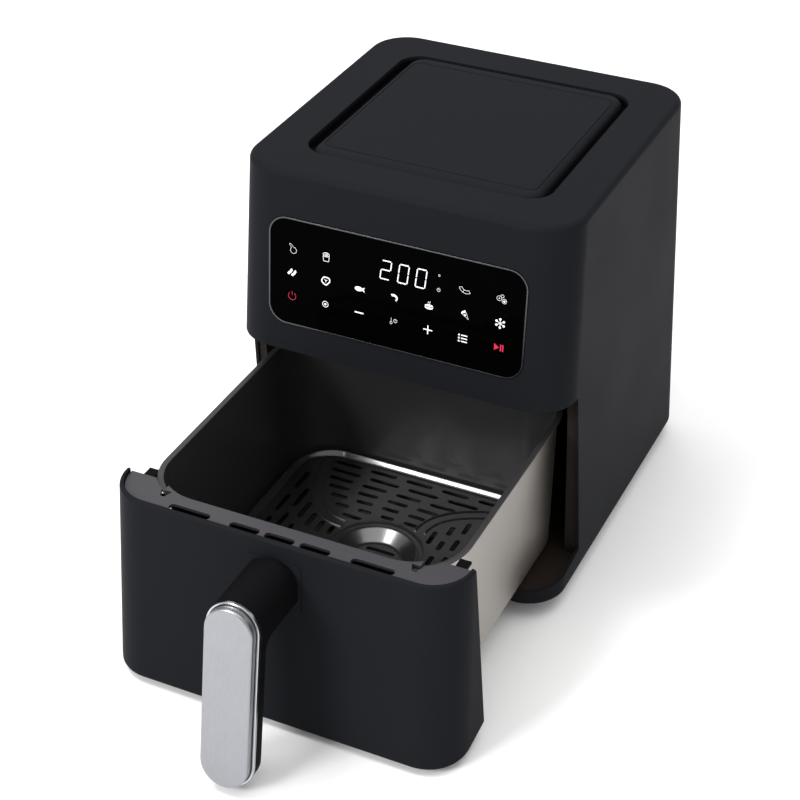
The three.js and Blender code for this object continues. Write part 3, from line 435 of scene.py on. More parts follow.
# ---------------------------------------------------------------- materials
def surface(name, color, rough, metal=0.0, grain=(900, 0.10), swing=0.10, stretch=(1, 1, 1), **extra):
    """A procedural finish: grain in bump, grain and soft patches together in colour and roughness."""
    if name in bpy.data.materials:
        return bpy.data.materials[name]
    mat = bpy.data.materials.new(name)
    mat.use_nodes = True
    nodes, links = mat.node_tree.nodes, mat.node_tree.links
    shader = nodes["Principled BSDF"]
    shader.inputs["Metallic"].default_value = metal
    for key, value in extra.items():
        shader.inputs[key.replace("_", " ")].default_value = value
    where = nodes.new("ShaderNodeTexCoord")
    mapping = nodes.new("ShaderNodeMapping")
    mapping.inputs["Scale"].default_value = stretch
    links.new(where.outputs["Object"], mapping.inputs["Vector"])
    fine = nodes.new("ShaderNodeTexNoise")
    fine.inputs["Scale"].default_value = grain[0]
    fine.inputs["Detail"].default_value = 3
    patch = nodes.new("ShaderNodeTexNoise")
    patch.inputs["Scale"].default_value = 14
    patch.inputs["Detail"].default_value = 5
    links.new(mapping.outputs["Vector"], fine.inputs["Vector"])
    links.new(where.outputs["Object"], patch.inputs["Vector"])
    tint = nodes.new("ShaderNodeMix")
    tint.data_type = "RGBA"
    tint.inputs["A"].default_value = (*[c * (1 - swing) for c in color], 1)
    tint.inputs["B"].default_value = (*[min(1, c * (1 + swing)) for c in color], 1)
    both = nodes.new("ShaderNodeMath")
    both.operation = "MULTIPLY_ADD"
    both.inputs[1].default_value = 0.5
    links.new(fine.outputs["Fac"], both.inputs[0])
    half = nodes.new("ShaderNodeMath")
    half.operation = "MULTIPLY"
    half.inputs[1].default_value = 0.5
    links.new(patch.outputs["Fac"], half.inputs[0])
    links.new(half.outputs[0], both.inputs[2])
    links.new(both.outputs[0], tint.inputs["Factor"])
    links.new(tint.outputs["Result"], shader.inputs["Base Color"])
    span = nodes.new("ShaderNodeMapRange")
    span.inputs["From Min"].default_value = 0.3
    span.inputs["From Max"].default_value = 0.7
    span.inputs["To Min"].default_value = rough * 0.88
    span.inputs["To Max"].default_value = min(1, rough * 1.12)
    links.new(both.outputs[0], span.inputs["Value"])
    links.new(span.outputs["Result"], shader.inputs["Roughness"])
    bump = nodes.new("ShaderNodeBump")
    bump.inputs["Strength"].default_value = grain[1]
    bump.inputs["Distance"].default_value = 0.0002
    links.new(fine.outputs["Fac"], bump.inputs["Height"])
    links.new(bump.outputs["Normal"], shader.inputs["Normal"])
    return mat


def palette():
    """Every finish, by the record's material slot."""
    tone = bpy.context.scene.air_fryer_colors
    dull = {"Specular_IOR_Level": 0.02}
    band = (0.46, 0.465, 0.48)
    dark_band = (0.075, 0.077, 0.08)
    return {
        "shell": surface("soft_shell", tone.shell, 0.46, grain=(1500, 0.06), swing=0.08,
                         Specular_IOR_Level=0.014),
        "trim": surface("satin_trim", tone.trim, 0.33, grain=(1700, 0.06), swing=0.06,
                        Specular_IOR_Level=0.4),
        "black_plastic": surface("matt_black", tone.plastic, 0.48, grain=(1400, 0.2), **dull),
        "liner": surface("bay_lining", tone.liner, 0.42, grain=(1300, 0.16), **dull),
        "glass": surface("black_window", tone.window, 0.05, grain=(60, 0.01), swing=0.05,
                         Specular_IOR_Level=0.004),
        "nonstick": surface("bowl_coating", tone.nonstick, 0.32, grain=(2200, 0.16), swing=0.16,
                            Specular_IOR_Level=0.4),
        "plate_coat": surface("gloss_coating", tone.plate, 0.26, grain=(2200, 0.06), swing=0.2,
                              Specular_IOR_Level=0.9, Coat_Weight=1.0, Coat_Roughness=0.14),
        "basket_steel": surface("basket_steel", tone.steel, 0.36, metal=1.0, grain=(900, 0.10),
                                swing=0.08, stretch=(0.06, 0.06, 1)),
        "silver": surface("brushed_silver", tone.silver, 0.33, metal=1.0, grain=(950, 0.05),
                          swing=0.2, stretch=(1, 1, 0.015)),
        "bright": surface("bright_band", band, 0.22, metal=1.0, grain=(300, 0.02), swing=0.04),
        "dark_band": surface("window_band", dark_band, 0.25, metal=1.0, grain=(300, 0.02),
                             swing=0.04),
        "steel": surface("pressed_steel", (0.42, 0.41, 0.39), 0.34, metal=1.0, grain=(800, 0.12)),
        "rubber": surface("soft_rubber", (0.010, 0.010, 0.010), 0.78, grain=(1200, 0.3), **dull),
        "board": surface("circuit_board", (0.02, 0.10, 0.045), 0.45, grain=(700, 0.2), swing=0.3),
        "copper": surface("winding", (0.42, 0.17, 0.07), 0.38, metal=0.8, grain=(900, 0.4), swing=0.3),
        "glow": surface("lit_mark", (0.5, 0.5, 0.5), 0.5, grain=(400, 0.02), swing=0.04,
                        Emission_Color=(*tone.mark, 1), Emission_Strength=0.8),
        "glow_red": surface("lit_red_mark", (0.3, 0.0, 0.02), 0.5, grain=(400, 0.02), swing=0.04,
                            Emission_Color=(*tone.red_mark, 1), Emission_Strength=0.45),
    }


# ---------------------------------------------------------------- body
def opening_zone(lift, z1, shift=0.0):
    """Side outline of the drawer opening as a wide cutter, with its lower edge rising to the rear."""
    s = sizes()
    z0 = s.sill + lift

    def rear(z):
        return -93 - 12 * (z - s.sill) / (s.lip - s.sill) + shift

    low = rear(z0)
    outline = [(-400, z0), (front_at(z0), z0), (low, z0 + (low - front_at(z0)) * s.slope),
               (rear(z1), z1), (-400, z1)]
    return prism("zone", outline, -300, 300, SIDEWAYS)


GLASS = SimpleNamespace(half=97.2, z0=198, z1=278.8, r=13, rim=1.3)
LID = SimpleNamespace(half=86.5, depth=90.4, r=13, hole=93, hole_r=18)


def glass_frame():
    mid = (GLASS.z0 + GLASS.z1) / 2
    return leaning(front_at(mid), mid, sizes().front_draft)


def glass_outline(grow):
    v = (GLASS.z1 - GLASS.z0) / 2 + grow
    return round_rect(GLASS.half + grow, -v, v, GLASS.r + grow)


def build_shell(mats):
    s = sizes()
    outside = rounded_end(s.foot, 2.2, False) + rounded_end(s.top, s.top_fillet, True, 8)
    shell = loft("shell_skin", outside)
    carve(
        shell,
        loft("inside", [body_ring(s.foot - 2, s.wall), body_ring(s.top - s.wall, s.wall)]),
        opening_zone(0, s.lip),
        prism("well", round_rect(LID.hole, -LID.hole + 2, LID.hole - 2, LID.hole_r), s.top - 9, s.top + 9),
        prism("window", glass_outline(GLASS.rim + 0.3), -12, 12, glass_frame()),
        prism("rear", round_rect(88, 50, 284, 10), -200, -90, FORWARD),
    )
    eased(shell, 0.9, angle=40, segments=3)
    return finished(shell, mats["shell"], "housing", "outer_shell")


def build_lid(mats):
    s = sizes()
    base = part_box("top_tray")[0].z / MM + 2.3

    def ring(z, inset):
        r = max(LID.r - inset, 3)
        return z, round_rect(LID.half - inset, -LID.depth + inset, LID.depth - inset, r)

    roll = [(math.radians(9 * i)) for i in range(11)]
    edge = [ring(s.top - 5.3 + 5.3 * math.sin(a), 5.5 * (1 - math.cos(a))) for a in roll]
    lid = loft("lid_panel", [ring(base, 0.4), ring(base + 0.4, 0), *edge, ring(s.top + 0.15, 9)])
    groove = prism("groove", round_rect(81.4, -78.7, 78.7, 7), s.top - 0.5, s.top + 2)
    carve(groove, prism("core", round_rect(80.7, -78.0, 78.0, 6.4), s.top - 2, s.top + 4))
    carve(lid, groove)
    eased(lid, 0.15, angle=50, segments=2)
    return finished(lid, mats["shell"], "housing", "top_panel")


# ---------------------------------------------------------------- controls
def arc(cx, cy, r, a0=0, a1=360, squeeze=1.0, n=20):
    """Points of an arc or ellipse in icon units."""
    turns = [math.radians(a0 + (a1 - a0) * i / n) for i in range(n + 1)]
    return [(cx + r * math.cos(a), cy + r * squeeze * math.sin(a)) for a in turns]


def ribbon(path, width):
    """Closed outline of a path drawn with a flat pen."""
    left, right = [], []
    for i, (x, y) in enumerate(path):
        (x0, y0), (x1, y1) = path[max(i - 1, 0)], path[min(i + 1, len(path) - 1)]
        size = math.hypot(x1 - x0, y1 - y0)
        dx, dy = (y0 - y1) / size * width / 2, (x1 - x0) / size * width / 2
        left.append((x + dx, y + dy))
        right.append((x - dx, y - dy))
    return right + left[::-1]


def disc(cx, cy, r):
    return arc(cx, cy, r, n=14)[:-1]


def bacon(cx, cy):
    """A wavy strip running up to the right."""
    steps = [i / 12 for i in range(13)]
    path = [(cx - 0.4 + 0.8 * t, cy - 0.5 + t + 0.07 * math.sin(9.4 * t)) for t in steps]
    return ribbon(path, 0.42)


def steak(r):
    """A rounded lump."""
    turns = [math.radians(15 * i) for i in range(25)]
    return [
        ((r + 0.1 * math.cos(2 * a - 1.2)) * math.cos(a), (r + 0.08 * math.sin(3 * a)) * math.sin(a))
        for a in turns
    ]


def snowflake():
    """Six arms, each with a round end."""
    turns = [math.radians(30 + 60 * i) for i in range(6)]
    arms = [[(0, 0), (0.7 * math.cos(a), 0.7 * math.sin(a))] for a in turns]
    return arms, [disc(0.78 * math.cos(a), 0.78 * math.sin(a), 0.22) for a in turns]


def icons():
    """Column, row, pen, strokes and filled outlines, in units of one icon's half width."""
    arms, knobs = snowflake()
    cup = [(-0.6, 0.15), (-0.5, -0.85), (0.5, -0.85), (0.6, 0.15)]
    fish = arc(-0.2, 0, 0.75, 25, 335, 0.6) + [(1, -0.5), (0.8, 0), (1, 0.5)]
    prawn = arc(-0.1, -0.1, 0.8, -50, 130, 0.9) + arc(-0.05, -0.2, 0.45, 130, -50, 0.9)
    play = [(-0.8, 0.65), (-0.8, -0.65), (0.1, 0)]
    pause = [ribbon([(x, 0.65), (x, -0.65)], 0.24) for x in (0.4, 0.8)]
    bone = [(-0.2, 0.2), (-0.6, 0.9), (-0.35, 0.95), (0.2, 0.35)]
    fork = [[(-0.25, 0.25), (0, 0), (0, -0.3)], [(0, 0), (0.3, 0.15)]]
    cuts = [[(-1.2, 0.4), (-0.65, 0.55)], [(0.87, -0.35), (0.56, 0.1)], [(-0.5, -0.45), (-0.25, 0.0)]]
    return [
        (-3, 0, "fine", [arc(0.2, -0.25, 0.6, -230, 90), bone], []),
        (-3, 1, "bold", [], [bacon(-0.4, 0.1), bacon(0.35, -0.1)]),
        (-3, 2, "red", [arc(0, 0, 0.75, 125, 415), [(0, 0.2), (0, 0.95)]], []),
        (-2, 0, "bold", [cup, arc(0, 0.4, 0.6, squeeze=0.65), arc(0, 0.4, 0.25, squeeze=0.65)], []),
        (-2, 1, "bold", [steak(0.8), steak(0.68), *fork], []),
        (-2, 2, "bold", [arc(0, 0, 0.55)], [disc(0, 0, 0.22)]),
        (-1, 1, "bold", [], [fish]),
        (-1, 2, "bold", [], [ribbon([(-0.85, 0), (0.85, 0)], 0.24)]),
        (0, 1, "bold", [], [prawn]),
        (0, 2, "fine", [arc(-0.4, -0.4, 0.22, 70, 470), [(-0.4, -0.2), (-0.4, 0.6)], arc(0.4, 0.1, 0.32),
                        [(0.4, 0.1), (0.4, 0.32)]], []),
        (1, 1, "bold", [[(-0.2, 0.5), (-0.1, 0.85)], [(0.1, 0.5), (0.2, 0.9)]],
         [arc(0, -0.08, 0.8, 0, 180, 0.5), arc(0, -0.24, 0.8, 180, 360, 0.5)]),
        (1, 2, "bold", [], [ribbon([(-0.85, 0), (0.85, 0)], 0.2), ribbon([(0, 0.1), (0, 0.85)], 0.2),
                            ribbon([(0, -0.1), (0, -0.85)], 0.2)]),
        (2, 0, "fine", [arc(0.1, 0.75, 1.35, 195, 305), arc(0.1, 0.75, 0.8, 195, 305), *cuts], []),
        (2, 1, "bold", [[(-0.55, 0.2), (0.8, -0.75), (0.35, 0.45), (-0.55, 0.2)]],
         [ribbon(arc(0.8, -0.75, 1.6, 112, 144), 0.3), disc(0.15, -0.05, 0.16)]),
        (2, 2, "fine", [], [ribbon([(-0.35, v), (0.8, v)], 0.2) for v in (0.6, 0, -0.6)]
         + [disc(-0.75, v, 0.17) for v in (0.6, 0, -0.6)]),
        (3, 0, "fine", [arc(-0.45, 0.05, 0.45), arc(0.1, 0.55, 0.28), arc(0.5, -0.35, 0.42)],
         [disc(0.5, -0.35, 0.2), disc(-0.45, 0.05, 0.1)]),
        (3, 1, "bold", arms, knobs),
        (3, 2, "red", [], [play, *pause]),
    ]


SEGMENTS = {2: "abged", 0: "abcdef"}
SIGNS = SimpleNamespace(column=26.6, row=18.5, top=256.6, half=4, lift=0.3, thin=(0.31, 0.42))
DIGITS = SimpleNamespace(shown=((2, -7.0), (0, 6.4), (0, 19.8)), height=257.4, pen=0.44)
PENS = {"fine": 0.13, "bold": 0.22, "red": 0.19}


def digit_bars(digit, u, v, w=3.6, h=7.0):
    """Strokes of one seven-segment digit centred on (u, v)."""
    ends = {
        "a": ((-w, h), (w, h)), "b": ((w, h), (w, 0)), "c": ((w, 0), (w, -h)), "d": ((w, -h), (-w, -h)),
        "e": ((-w, -h), (-w, 0)), "f": ((-w, 0), (-w, h)), "g": ((-w, 0), (w, 0)),
    }
    trim, lean = 0.86, 0.1
    bars = []
    for key in SEGMENTS[digit]:
        (x0, y0), (x1, y1) = ends[key]
        mx, my = (x0 + x1) / 2, (y0 + y1) / 2
        bar = [(mx + (x - mx) * trim, my + (y - my) * trim) for x, y in ((x0, y0), (x1, y1))]
        bars.append([(u + x + lean * y, v + y) for x, y in bar])
    return bars


def placed(path, u, v):
    """A path in icon units, moved to its place on the window."""
    return [(u + SIGNS.half * a, v + SIGNS.half * b) for a, b in path]


def build_controls(mats):
    frame = glass_frame()
    mid = (GLASS.z0 + GLASS.z1) / 2
    glass = prism("control_window", glass_outline(0), -2.2, 0.3, frame)
    eased(glass, 0.25, segments=2)
    finished(glass, mats["glass"], "housing", "control_glass")
    rim = prism("control_frame", glass_outline(GLASS.rim), -2.8, 0.7, frame)
    carve(rim, prism("inner", glass_outline(0.15), -6, 3, frame))
    eased(rim, 0.25, segments=2)
    finished(rim, mats["dark_band"], "housing", "control_bezel")

    def lifted(path):
        return [frame @ Vector((u, v, SIGNS.lift)) for u, v in path]

    strokes, fills = ({pen: [] for pen in PENS} for _ in range(2))
    for column, row, pen, lines, outlines in icons():
        u, v = column * SIGNS.column, (SIGNS.top - mid) - row * SIGNS.row
        strokes[pen] += [lifted(placed(line, u, v)) for line in lines]
        fills[pen] += [placed(outline, u, v) for outline in outlines]
    degree, clock = (33.2, 263 - mid), (33.2, 252 - mid)
    strokes["fine"] += [lifted(arc(*degree, 0.7, n=10)), lifted(arc(*clock, 1.2, n=12))]
    strokes["fine"].append(lifted([clock, (clock[0], clock[1] + 0.8)]))
    for pen, radius in PENS.items():
        glow = mats["glow_red" if pen == "red" else "glow"]
        flat = [prism("mark", outline, *SIGNS.thin, frame) for outline in fills[pen]]
        piece = joined("window_marks_" + pen, [sweep("lines", strokes[pen], radius, glow)] + flat)
        piece.data.materials.append(glow)
        finished(piece, None, "housing", None)
    bars = [bar for digit, u in DIGITS.shown for bar in digit_bars(digit, u, DIGITS.height - mid)]
    digits = sweep("window_digits", [lifted(bar) for bar in bars], DIGITS.pen, mats["glow"])
    finished(digits, None, "housing", None)


# ---------------------------------------------------------------- drawer front
def build_drawer_front(mats):
    s = sizes()
    z0, z1 = s.front_bottom, s.front_top
    front = loft("drawer_skin", rounded_end(z0, 2.6, False) + rounded_end(z1, 2.2, True))
    cavity = loft("cavity", [body_ring(z0 - 1, 3), body_ring(z1 + 1, 3)])
    trim_to(cavity, opening_zone(s.gap + 2.6, z1 + 2))
    carve(front, cavity)
    trim_to(front, opening_zone(s.gap, z1 + 1, -s.gap))
    eased(front, 0.6, angle=40)
    return finished(front, mats["shell"], "drawer", "drawer_front")


def slot_outline(u, v, length_, width):
    half = (length_ - width) / 2
    return [(u + b, v - a) for a, b in capsule(width / 2, -half, half, 8)]


RIM = SimpleNamespace(half=112, front=-117.6, back=113.6, r=38.4)
FOOT = SimpleNamespace(half=110, front=-97, back=113, r=38)


def rim_ring(grow):
    return round_rect(RIM.half + grow, RIM.front - grow, RIM.back + grow, RIM.r + grow)


VENT = SimpleNamespace(y=-128.6, width=6.4, places=((-67.5, 31), (-26, 22), (0, 22), (26, 22), (67.5, 31)))


def build_trim(mats):
    s = sizes()
    z1 = s.front_top - 2.5
    z0 = z1 - 2.4
    trim = loft("trim_plate", [body_ring(z0, 3.6), body_ring(z1, 3.6)])
    trim_to(trim, block("ahead", (-200, 200), (-300, -105.4), (0, 300)))
    mouth = round_rect(RIM.half - 1, RIM.front + 1.4, RIM.back, RIM.r - 1)
    carve(trim, prism("mouth", mouth, z0 - 1, z1 + 1))
    around = round_rect(RIM.half + 4, RIM.front - 4, RIM.back, RIM.r + 4)
    shoulder = prism("shoulder", around, z0 - 1, z1 + 1)
    carve(shoulder, block("middle", (-95, 95), (-300, 300), (0, 300)))
    slots = [
        prism("slot", slot_outline(x, VENT.y, long, VENT.width), z0 - 1, z1 + 1)
        for x, long in VENT.places
    ]
    notches = [
        prism("notch", [(x - 4, -115), (x + 4, -115), (x + 1.5, -121.5), (x - 1.5, -121.5)], z0 - 1, z1 + 1)
        for x in (-93, 93)
    ]
    carve(trim, shoulder, joined("slots", slots), joined("notches", notches))
    eased(trim, 0.6, angle=40)
    return finished(trim, mats["trim"], "drawer", "drawer_trim")


# ---------------------------------------------------------------- basket and plate
def build_basket(mats):
    s = sizes()
    fillet, bottom, top = 8.0, s.basket_floor, s.basket_top
    knee = bottom + fillet

    def wall_ring(z, grow):
        t = (z - knee) / (top - 1.2 - knee)
        low, high = ([ring.half, ring.front, ring.back, ring.r] for ring in (FOOT, RIM))
        half, front, back, r = (a + (b - a) * t for a, b in zip(low, high))
        return round_rect(half + grow, front - grow, back + grow, r + grow)

    bend = [math.radians(10 * i) for i in range(10)]
    outer = [
        (bottom + fillet * (1 - math.cos(a)), wall_ring(knee, -fillet * (1 - math.sin(a)))) for a in bend
    ]
    outer.append((top - 1.2, wall_ring(top - 1.2, 0)))
    lip = [(top - 1.2, rim_ring(3.1)), (top - 0.9, rim_ring(3.5)), (top - 0.5, rim_ring(3.6)),
           (top - 0.15, rim_ring(3.35)), (top, rim_ring(2.9))]
    inner = [(top, rim_ring(-0.4)), (top - 0.3, rim_ring(-0.85)), (top - 0.8, wall_ring(top - 0.8, -1))]
    down = [
        (bottom + 1 + fillet * (1 - math.cos(a)), wall_ring(knee, -1 - fillet * (1 - math.sin(a))))
        for a in reversed(bend)
    ]
    rings = outer + lip + inner + down
    basket = loft("basket_bowl", rings)
    basket.data.materials.append(mats["basket_steel"])
    basket.data.materials.append(mats["nonstick"])
    for face in basket.data.polygons:
        inward = face.normal.dot(Vector((face.center.x, face.center.y - 4, 0))) < 0
        rim = face.center.z > top - 1.0
        floor = face.normal.z > 0.3
        face.material_index = 1 if (inward and face.normal.z > -0.9) or floor or rim else 0
    return finished(basket, None, "drawer", "basket", angle=60)


PLATE = SimpleNamespace(half=105, front=-93.2, back=110.8, r=34, dish=31.5, floor=20.5, depth=7)
SLOT = SimpleNamespace(width=4, gap=8, pitch=9.75, first=31.5, rows=7, per_row=4)


def row_start(v):
    return -77 + 35 * ((90 - v) / 58.5) ** 2


def row_end(v):
    return 16 + 52 * ((v - 41.5) / 48.5) ** 2


def plate_slots():
    """Every slot as (middle, turn, length): one sector of parallel rows turned four times."""
    rows = []
    for k in range(SLOT.rows):
        v = SLOT.first + k * SLOT.pitch
        if k == 0:
            rows.append((v, row_start(v), row_start(v) + 16, 1))
        else:
            rows.append((v, row_start(v), row_end(v), SLOT.per_row + (k == SLOT.rows - 1)))
    sector = []
    for v, u0, u1, n in rows:
        long = (u1 - u0 - SLOT.gap * (n - 1)) / n
        sector += [(u0 + long / 2 + i * (long + SLOT.gap), v, long) for i in range(n)]
    turned = []
    for quarter in range(4):
        a = math.pi / 2 * quarter
        turned += [
            (u * math.cos(a) - v * math.sin(a), u * math.sin(a) + v * math.cos(a), a, long)
            for u, v, long in sector
        ]
    centre = [(0, 11 * i, 0, 24 if i else 32) for i in (-1, 0, 1)]
    return turned + centre


def swirl_paths(y, z):
    """Pairs of embossed lines between the plate's sectors."""
    paths = []
    for offset in (2.2, 10.2):
        line = []
        for i in range(25):
            t = i / 24
            u, v = 14.6 + 85.4 * t * t, 36 + 54 * (1 - (1 - t) ** 1.6)
            du, dv = 170.8 * t + 1, 86.4 * (1 - t) ** 0.6
            size = math.hypot(du, dv)
            line.append((u + offset * dv / size, v - offset * du / size))
        line = [p for p in line if max(abs(p[0]), abs(p[1])) < 97 and math.hypot(*p) > 37]
        for quarter in range(4):
            a = math.pi / 2 * quarter
            paths.append([
                (u * math.cos(a) - v * math.sin(a), u * math.sin(a) + v * math.cos(a) + y, z) for u, v in line
            ])
    return paths


def build_plate(mats):
    s = sizes()
    z, y = s.plate_top, (PLATE.front + PLATE.back) / 2

    def ring(height, inset):
        pts = round_rect(PLATE.half - inset, PLATE.front + inset, PLATE.back - inset, max(PLATE.r - inset, 4))
        return z + height, pts

    def disc(height, r):
        return z + height, circle(r, y)

    low = -PLATE.depth - 1.5
    rings = [
        disc(low, PLATE.floor), disc(low + 0.6, PLATE.floor + 1.2), disc(-2.2, PLATE.dish + 1),
        disc(-1.5, PLATE.dish + 3), ring(-1.5, 3), ring(-1.2, 1), ring(-0.4, 0.2), ring(0.6, 0),
        ring(3.0, 0), ring(3.7, 0.3), ring(4.0, 0.9), ring(4.0, 1.6), ring(3.6, 2.2), ring(1.6, 3.6),
        ring(0.5, 4.5), ring(0.1, 5.4), ring(0, 6.4), disc(0, 37.5), disc(-0.35, 36.6), disc(-0.7, 35.4),
        disc(-0.7, 33.6), disc(-0.3, 32.6), disc(-0.3, PLATE.dish), disc(-1.0, 30.2),
        disc(-PLATE.depth + 0.8, PLATE.floor + 0.8), disc(-PLATE.depth + 0.1, PLATE.floor - 0.6),
        disc(-PLATE.depth, PLATE.floor - 2.5),
    ]
    plate = loft("crisping_plate", rings)
    unit = prism("slot", [(u, v) for u, v in slot_outline(0, 0, 16, SLOT.width)], z - 14, z + 14)
    places = [((u, v + y, 0), a, (long / 16, 1, 1)) for u, v, a, long in plate_slots()]
    carve(plate, copies("slots", unit, places))
    eased(plate, 0.3, angle=50, segments=2)
    finished(plate, mats["plate_coat"], "crisper", "crisper_plate", angle=40)
    ribs = sweep("plate_swirls", swirl_paths(y, z - 0.1), 1.0, mats["plate_coat"])
    finished(ribs, None, "crisper", None)


# ---------------------------------------------------------------- handle
GRIP = SimpleNamespace(top=(-193.5, 144.6), bottom=(-210.3, 44.6), band=3.0, pocket=1.4, cover=6.0, back=7.5)


def grip_frame():
    up = Vector((0, GRIP.top[0] - GRIP.bottom[0], GRIP.top[1] - GRIP.bottom[1]))
    long = up.length
    up.normalize()
    return basis((1, 0, 0), up, Vector((1, 0, 0)).cross(up), (0, *GRIP.bottom)), long


def build_handle(mats):
    s = sizes()
    r = s.grip
    (ty, tz), (by, bz) = GRIP.top, GRIP.bottom
    slope = (ty - by) / (tz - bz)

    def face_y(z):
        return ty + (z - tz) * slope + GRIP.band + 0.3

    def back_y(z):
        return face_y(z) + GRIP.back

    top, under, low, arch = tz + r, tz - 9.1, bz - r - 2, 11
    root = front_at(tz) - 1.8
    cy = back_y(under - arch) + arch
    bend = [math.radians(180 - 90 * i / 10) for i in range(11)]
    side = [(root, top + 2), (face_y(top + 2), top + 2), (face_y(low), low), (back_y(low) - 3, low),
            (back_y(low + 8), low + 8)]
    side += [(cy + arch * math.cos(a), under - arch + arch * math.sin(a)) for a in bend]
    side.append((root, under))
    body = prism("grip_arm", side, -40, 40, SIDEWAYS)
    trim_to(body, prism("outline", capsule(r, bz, tz), 100, 260, FORWARD))
    carve(body, loft("panel", [body_ring(30, -1.7), body_ring(200, -1.7)]))
    eased(body, 1.6, angle=40, segments=4)
    finished(body, mats["black_plastic"], "drawer", "handle_body")

    frame, long = grip_frame()
    band = prism("grip_band", capsule(r, 0, long), -GRIP.band, 0, frame)
    carve(band, prism("pocket", capsule(r - 1.6, 0, long), -GRIP.pocket, 5, frame))
    eased(band, 0.5, angle=40)
    finished(band, mats["bright"], "drawer", "handle_rim")

    soft = [math.radians(15 * i) for i in range(7)]
    cover_r, soft_r = r - 1.9, 1.4
    layers = [(0.3 - GRIP.pocket, capsule(cover_r, 0, long))]
    for a in soft:
        outline = capsule(cover_r - soft_r * (1 - math.cos(a)), 0, long)
        layers.append((GRIP.cover - soft_r * (1 - math.sin(a)), outline))
    cover = loft("grip_plate", layers, frame)
    finished(cover, mats["silver"], "drawer", "handle_cover", angle=50)

    seat_frame = leaning(front_at(143), 143, s.front_draft)
    seat = prism("grip_seat", round_rect(20.5, -21, 18, 4), 0.1, 0.8, seat_frame)
    eased(seat, 0.3, angle=40)
    finished(seat, mats["shell"], "drawer", "handle_escutcheon")


# ---------------------------------------------------------------- the frame's own nodes
def dress_nodes(mats):
    """Gives every node of the frame the finish of its slot."""
    for entry in FRAME["record"]["subparts"]:
        obj = FRAME["nodes"][entry["node"]]
        obj.data.materials.clear()
        obj.data.materials.append(mats[entry["material_slot"]])


# ---------------------------------------------------------------- stage
CAMERA = SimpleNamespace(x=0.4800, y=-1.1315, z=0.9097, yaw=24.06, pitch=34.38, roll=0.63, lens=83.96)


def area_light(name, place, aim, size, power, color=(1, 1, 1)):
    """A soft rectangular light that points at a spot."""
    data = bpy.data.lights.new(name, "AREA")
    data.shape, data.size, data.size_y = "RECTANGLE", *size
    data.energy, data.color = power, color
    obj = bpy.data.objects.new(name, data)
    obj.location = place
    obj.rotation_euler = (Vector(aim) - Vector(place)).to_track_quat("-Z", "Y").to_euler()
    bpy.context.scene.collection.objects.link(obj)


def build_stage():
    scene = bpy.context.scene
    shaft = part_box("rotor_shaft")
    bpy.ops.mesh.primitive_plane_add(size=14)
    floor = bpy.context.object
    floor.name = "floor"
    floor.data.materials.append(surface("pale_floor", (0.94, 0.94, 0.94), 0.8, grain=(90, 0.02), swing=0.004))
    world = bpy.data.worlds.new("studio")
    world.use_nodes = True
    world.node_tree.nodes["Background"].inputs["Color"].default_value = (1, 1, 1, 1)
    world.node_tree.nodes["Background"].inputs["Strength"].default_value = 0.8
    scene.world = world
    scene.view_settings.view_transform = "Standard"
    area_light("overhead", (0, 0.4, 2.6), (0, 0.4, 0), (3.2, 3.2), 48)
    area_light("key", (-0.8, -1.75, 1.2), (0, -0.05, 0.12), (0.55, 0.55), 26)
    area_light("spot", (-0.9, -0.5, 2.4), (0, -0.05, 0.05), (0.5, 0.5), 16)
    data = bpy.data.cameras.new("view")
    data.lens, data.sensor_width = CAMERA.lens, 36
    data.shift_x, data.shift_y = -0.0463, 0.0019
    yaw, pitch, roll = (math.radians(a) for a in (CAMERA.yaw, CAMERA.pitch, CAMERA.roll))
    ahead = Vector((-math.sin(yaw) * math.cos(pitch), math.cos(yaw) * math.cos(pitch), -math.sin(pitch)))
    right = ahead.cross(Vector((0, 0, 1))).normalized()
    up = right.cross(ahead)
    side = right * math.cos(roll) + up * math.sin(roll)
    rise = up * math.cos(roll) - right * math.sin(roll)
    cam = bpy.data.objects.new("view", data)
    place = Vector((CAMERA.x, CAMERA.y + (shaft[0].y + shaft[1].y) / 2, CAMERA.z))
    cam.matrix_world = basis(side, rise, -ahead, place)
    scene.collection.objects.link(cam)
    scene.camera = cam


# ---------------------------------------------------------------- operators
class FRYER_OT_frame(bpy.types.Operator):
    """Dress the frame's own parts."""

    bl_idname = "air_fryer.frame"
    bl_label = "Frame parts"

    def execute(self, context):
        dress_nodes(palette())
        return {"FINISHED"}


class FRYER_OT_housing(bpy.types.Operator):
    """Build the body shell and its lid panel."""

    bl_idname = "air_fryer.housing"
    bl_label = "Body and lid"

    def execute(self, context):
        mats = palette()
        build_shell(mats)
        build_lid(mats)
        return {"FINISHED"}


class FRYER_OT_controls(bpy.types.Operator):
    """Build the touch window and its lit marks."""

    bl_idname = "air_fryer.controls"
    bl_label = "Touch window"

    def execute(self, context):
        build_controls(palette())
        return {"FINISHED"}


class FRYER_OT_drawer(bpy.types.Operator):
    """Build the drawer front and its trim."""

    bl_idname = "air_fryer.drawer"
    bl_label = "Drawer front"

    def execute(self, context):
        mats = palette()
        build_drawer_front(mats)
        build_trim(mats)
        return {"FINISHED"}


class FRYER_OT_basket(bpy.types.Operator):
    """Build the basket."""

    bl_idname = "air_fryer.basket"
    bl_label = "Basket"

    def execute(self, context):
        build_basket(palette())
        return {"FINISHED"}


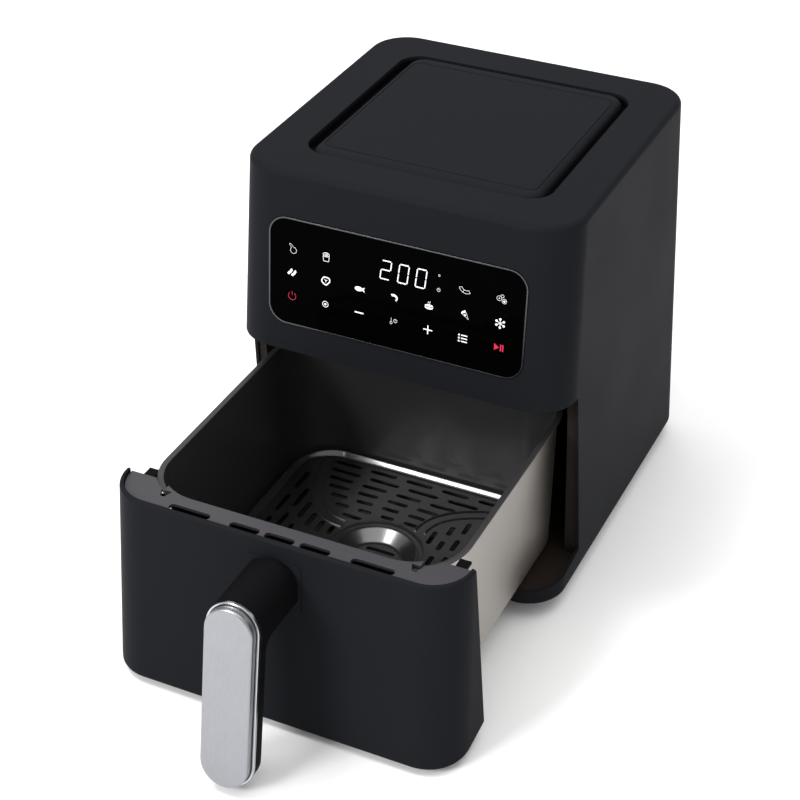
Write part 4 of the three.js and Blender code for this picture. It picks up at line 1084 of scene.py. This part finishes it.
class FRYER_OT_plate(bpy.types.Operator):
    """Build the crisping plate."""

    bl_idname = "air_fryer.plate"
    bl_label = "Crisping plate"

    def execute(self, context):
        build_plate(palette())
        return {"FINISHED"}


class FRYER_OT_handle(bpy.types.Operator):
    """Build the handle."""

    bl_idname = "air_fryer.handle"
    bl_label = "Handle"

    def execute(self, context):
        build_handle(palette())
        return {"FINISHED"}


class FRYER_OT_stage(bpy.types.Operator):
    """Set the floor, the lights and the camera."""

    bl_idname = "air_fryer.stage"
    bl_label = "Stage"

    def execute(self, context):
        build_stage()
        return {"FINISHED"}


class FRYER_PT_panel(bpy.types.Panel):
    """Sizes and one button per group of pieces."""

    bl_idname = "FRYER_PT_panel"
    bl_label = "Air fryer"
    bl_space_type = "VIEW_3D"
    bl_region_type = "UI"
    bl_category = "Air fryer"

    def draw(self, context):
        for key in FryerSizes.__annotations__:
            self.layout.prop(context.scene.air_fryer, key)
        for key in FryerColors.__annotations__:
            self.layout.prop(context.scene.air_fryer_colors, key)
        for operator in OPERATORS:
            self.layout.operator(operator.bl_idname)


OPERATORS = (
    FRYER_OT_frame,
    FRYER_OT_housing,
    FRYER_OT_controls,
    FRYER_OT_drawer,
    FRYER_OT_basket,
    FRYER_OT_plate,
    FRYER_OT_handle,
    FRYER_OT_stage,
)


def register():
    for cls in (FryerSizes, FryerColors, *OPERATORS, FRYER_PT_panel):
        bpy.utils.register_class(cls)
    bpy.types.Scene.air_fryer = PointerProperty(type=FryerSizes)
    bpy.types.Scene.air_fryer_colors = PointerProperty(type=FryerColors)


def unregister():
    del bpy.types.Scene.air_fryer
    del bpy.types.Scene.air_fryer_colors
    for cls in reversed((FryerSizes, FryerColors, *OPERATORS, FRYER_PT_panel)):
        bpy.utils.unregister_class(cls)


def main():
    register()
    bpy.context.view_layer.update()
    bpy.ops.air_fryer.frame()
    bpy.ops.air_fryer.housing()
    bpy.ops.air_fryer.controls()
    bpy.ops.air_fryer.drawer()
    bpy.ops.air_fryer.basket()
    bpy.ops.air_fryer.plate()
    bpy.ops.air_fryer.handle()
    bpy.ops.air_fryer.stage()


if __name__ == "__main__":
    main()
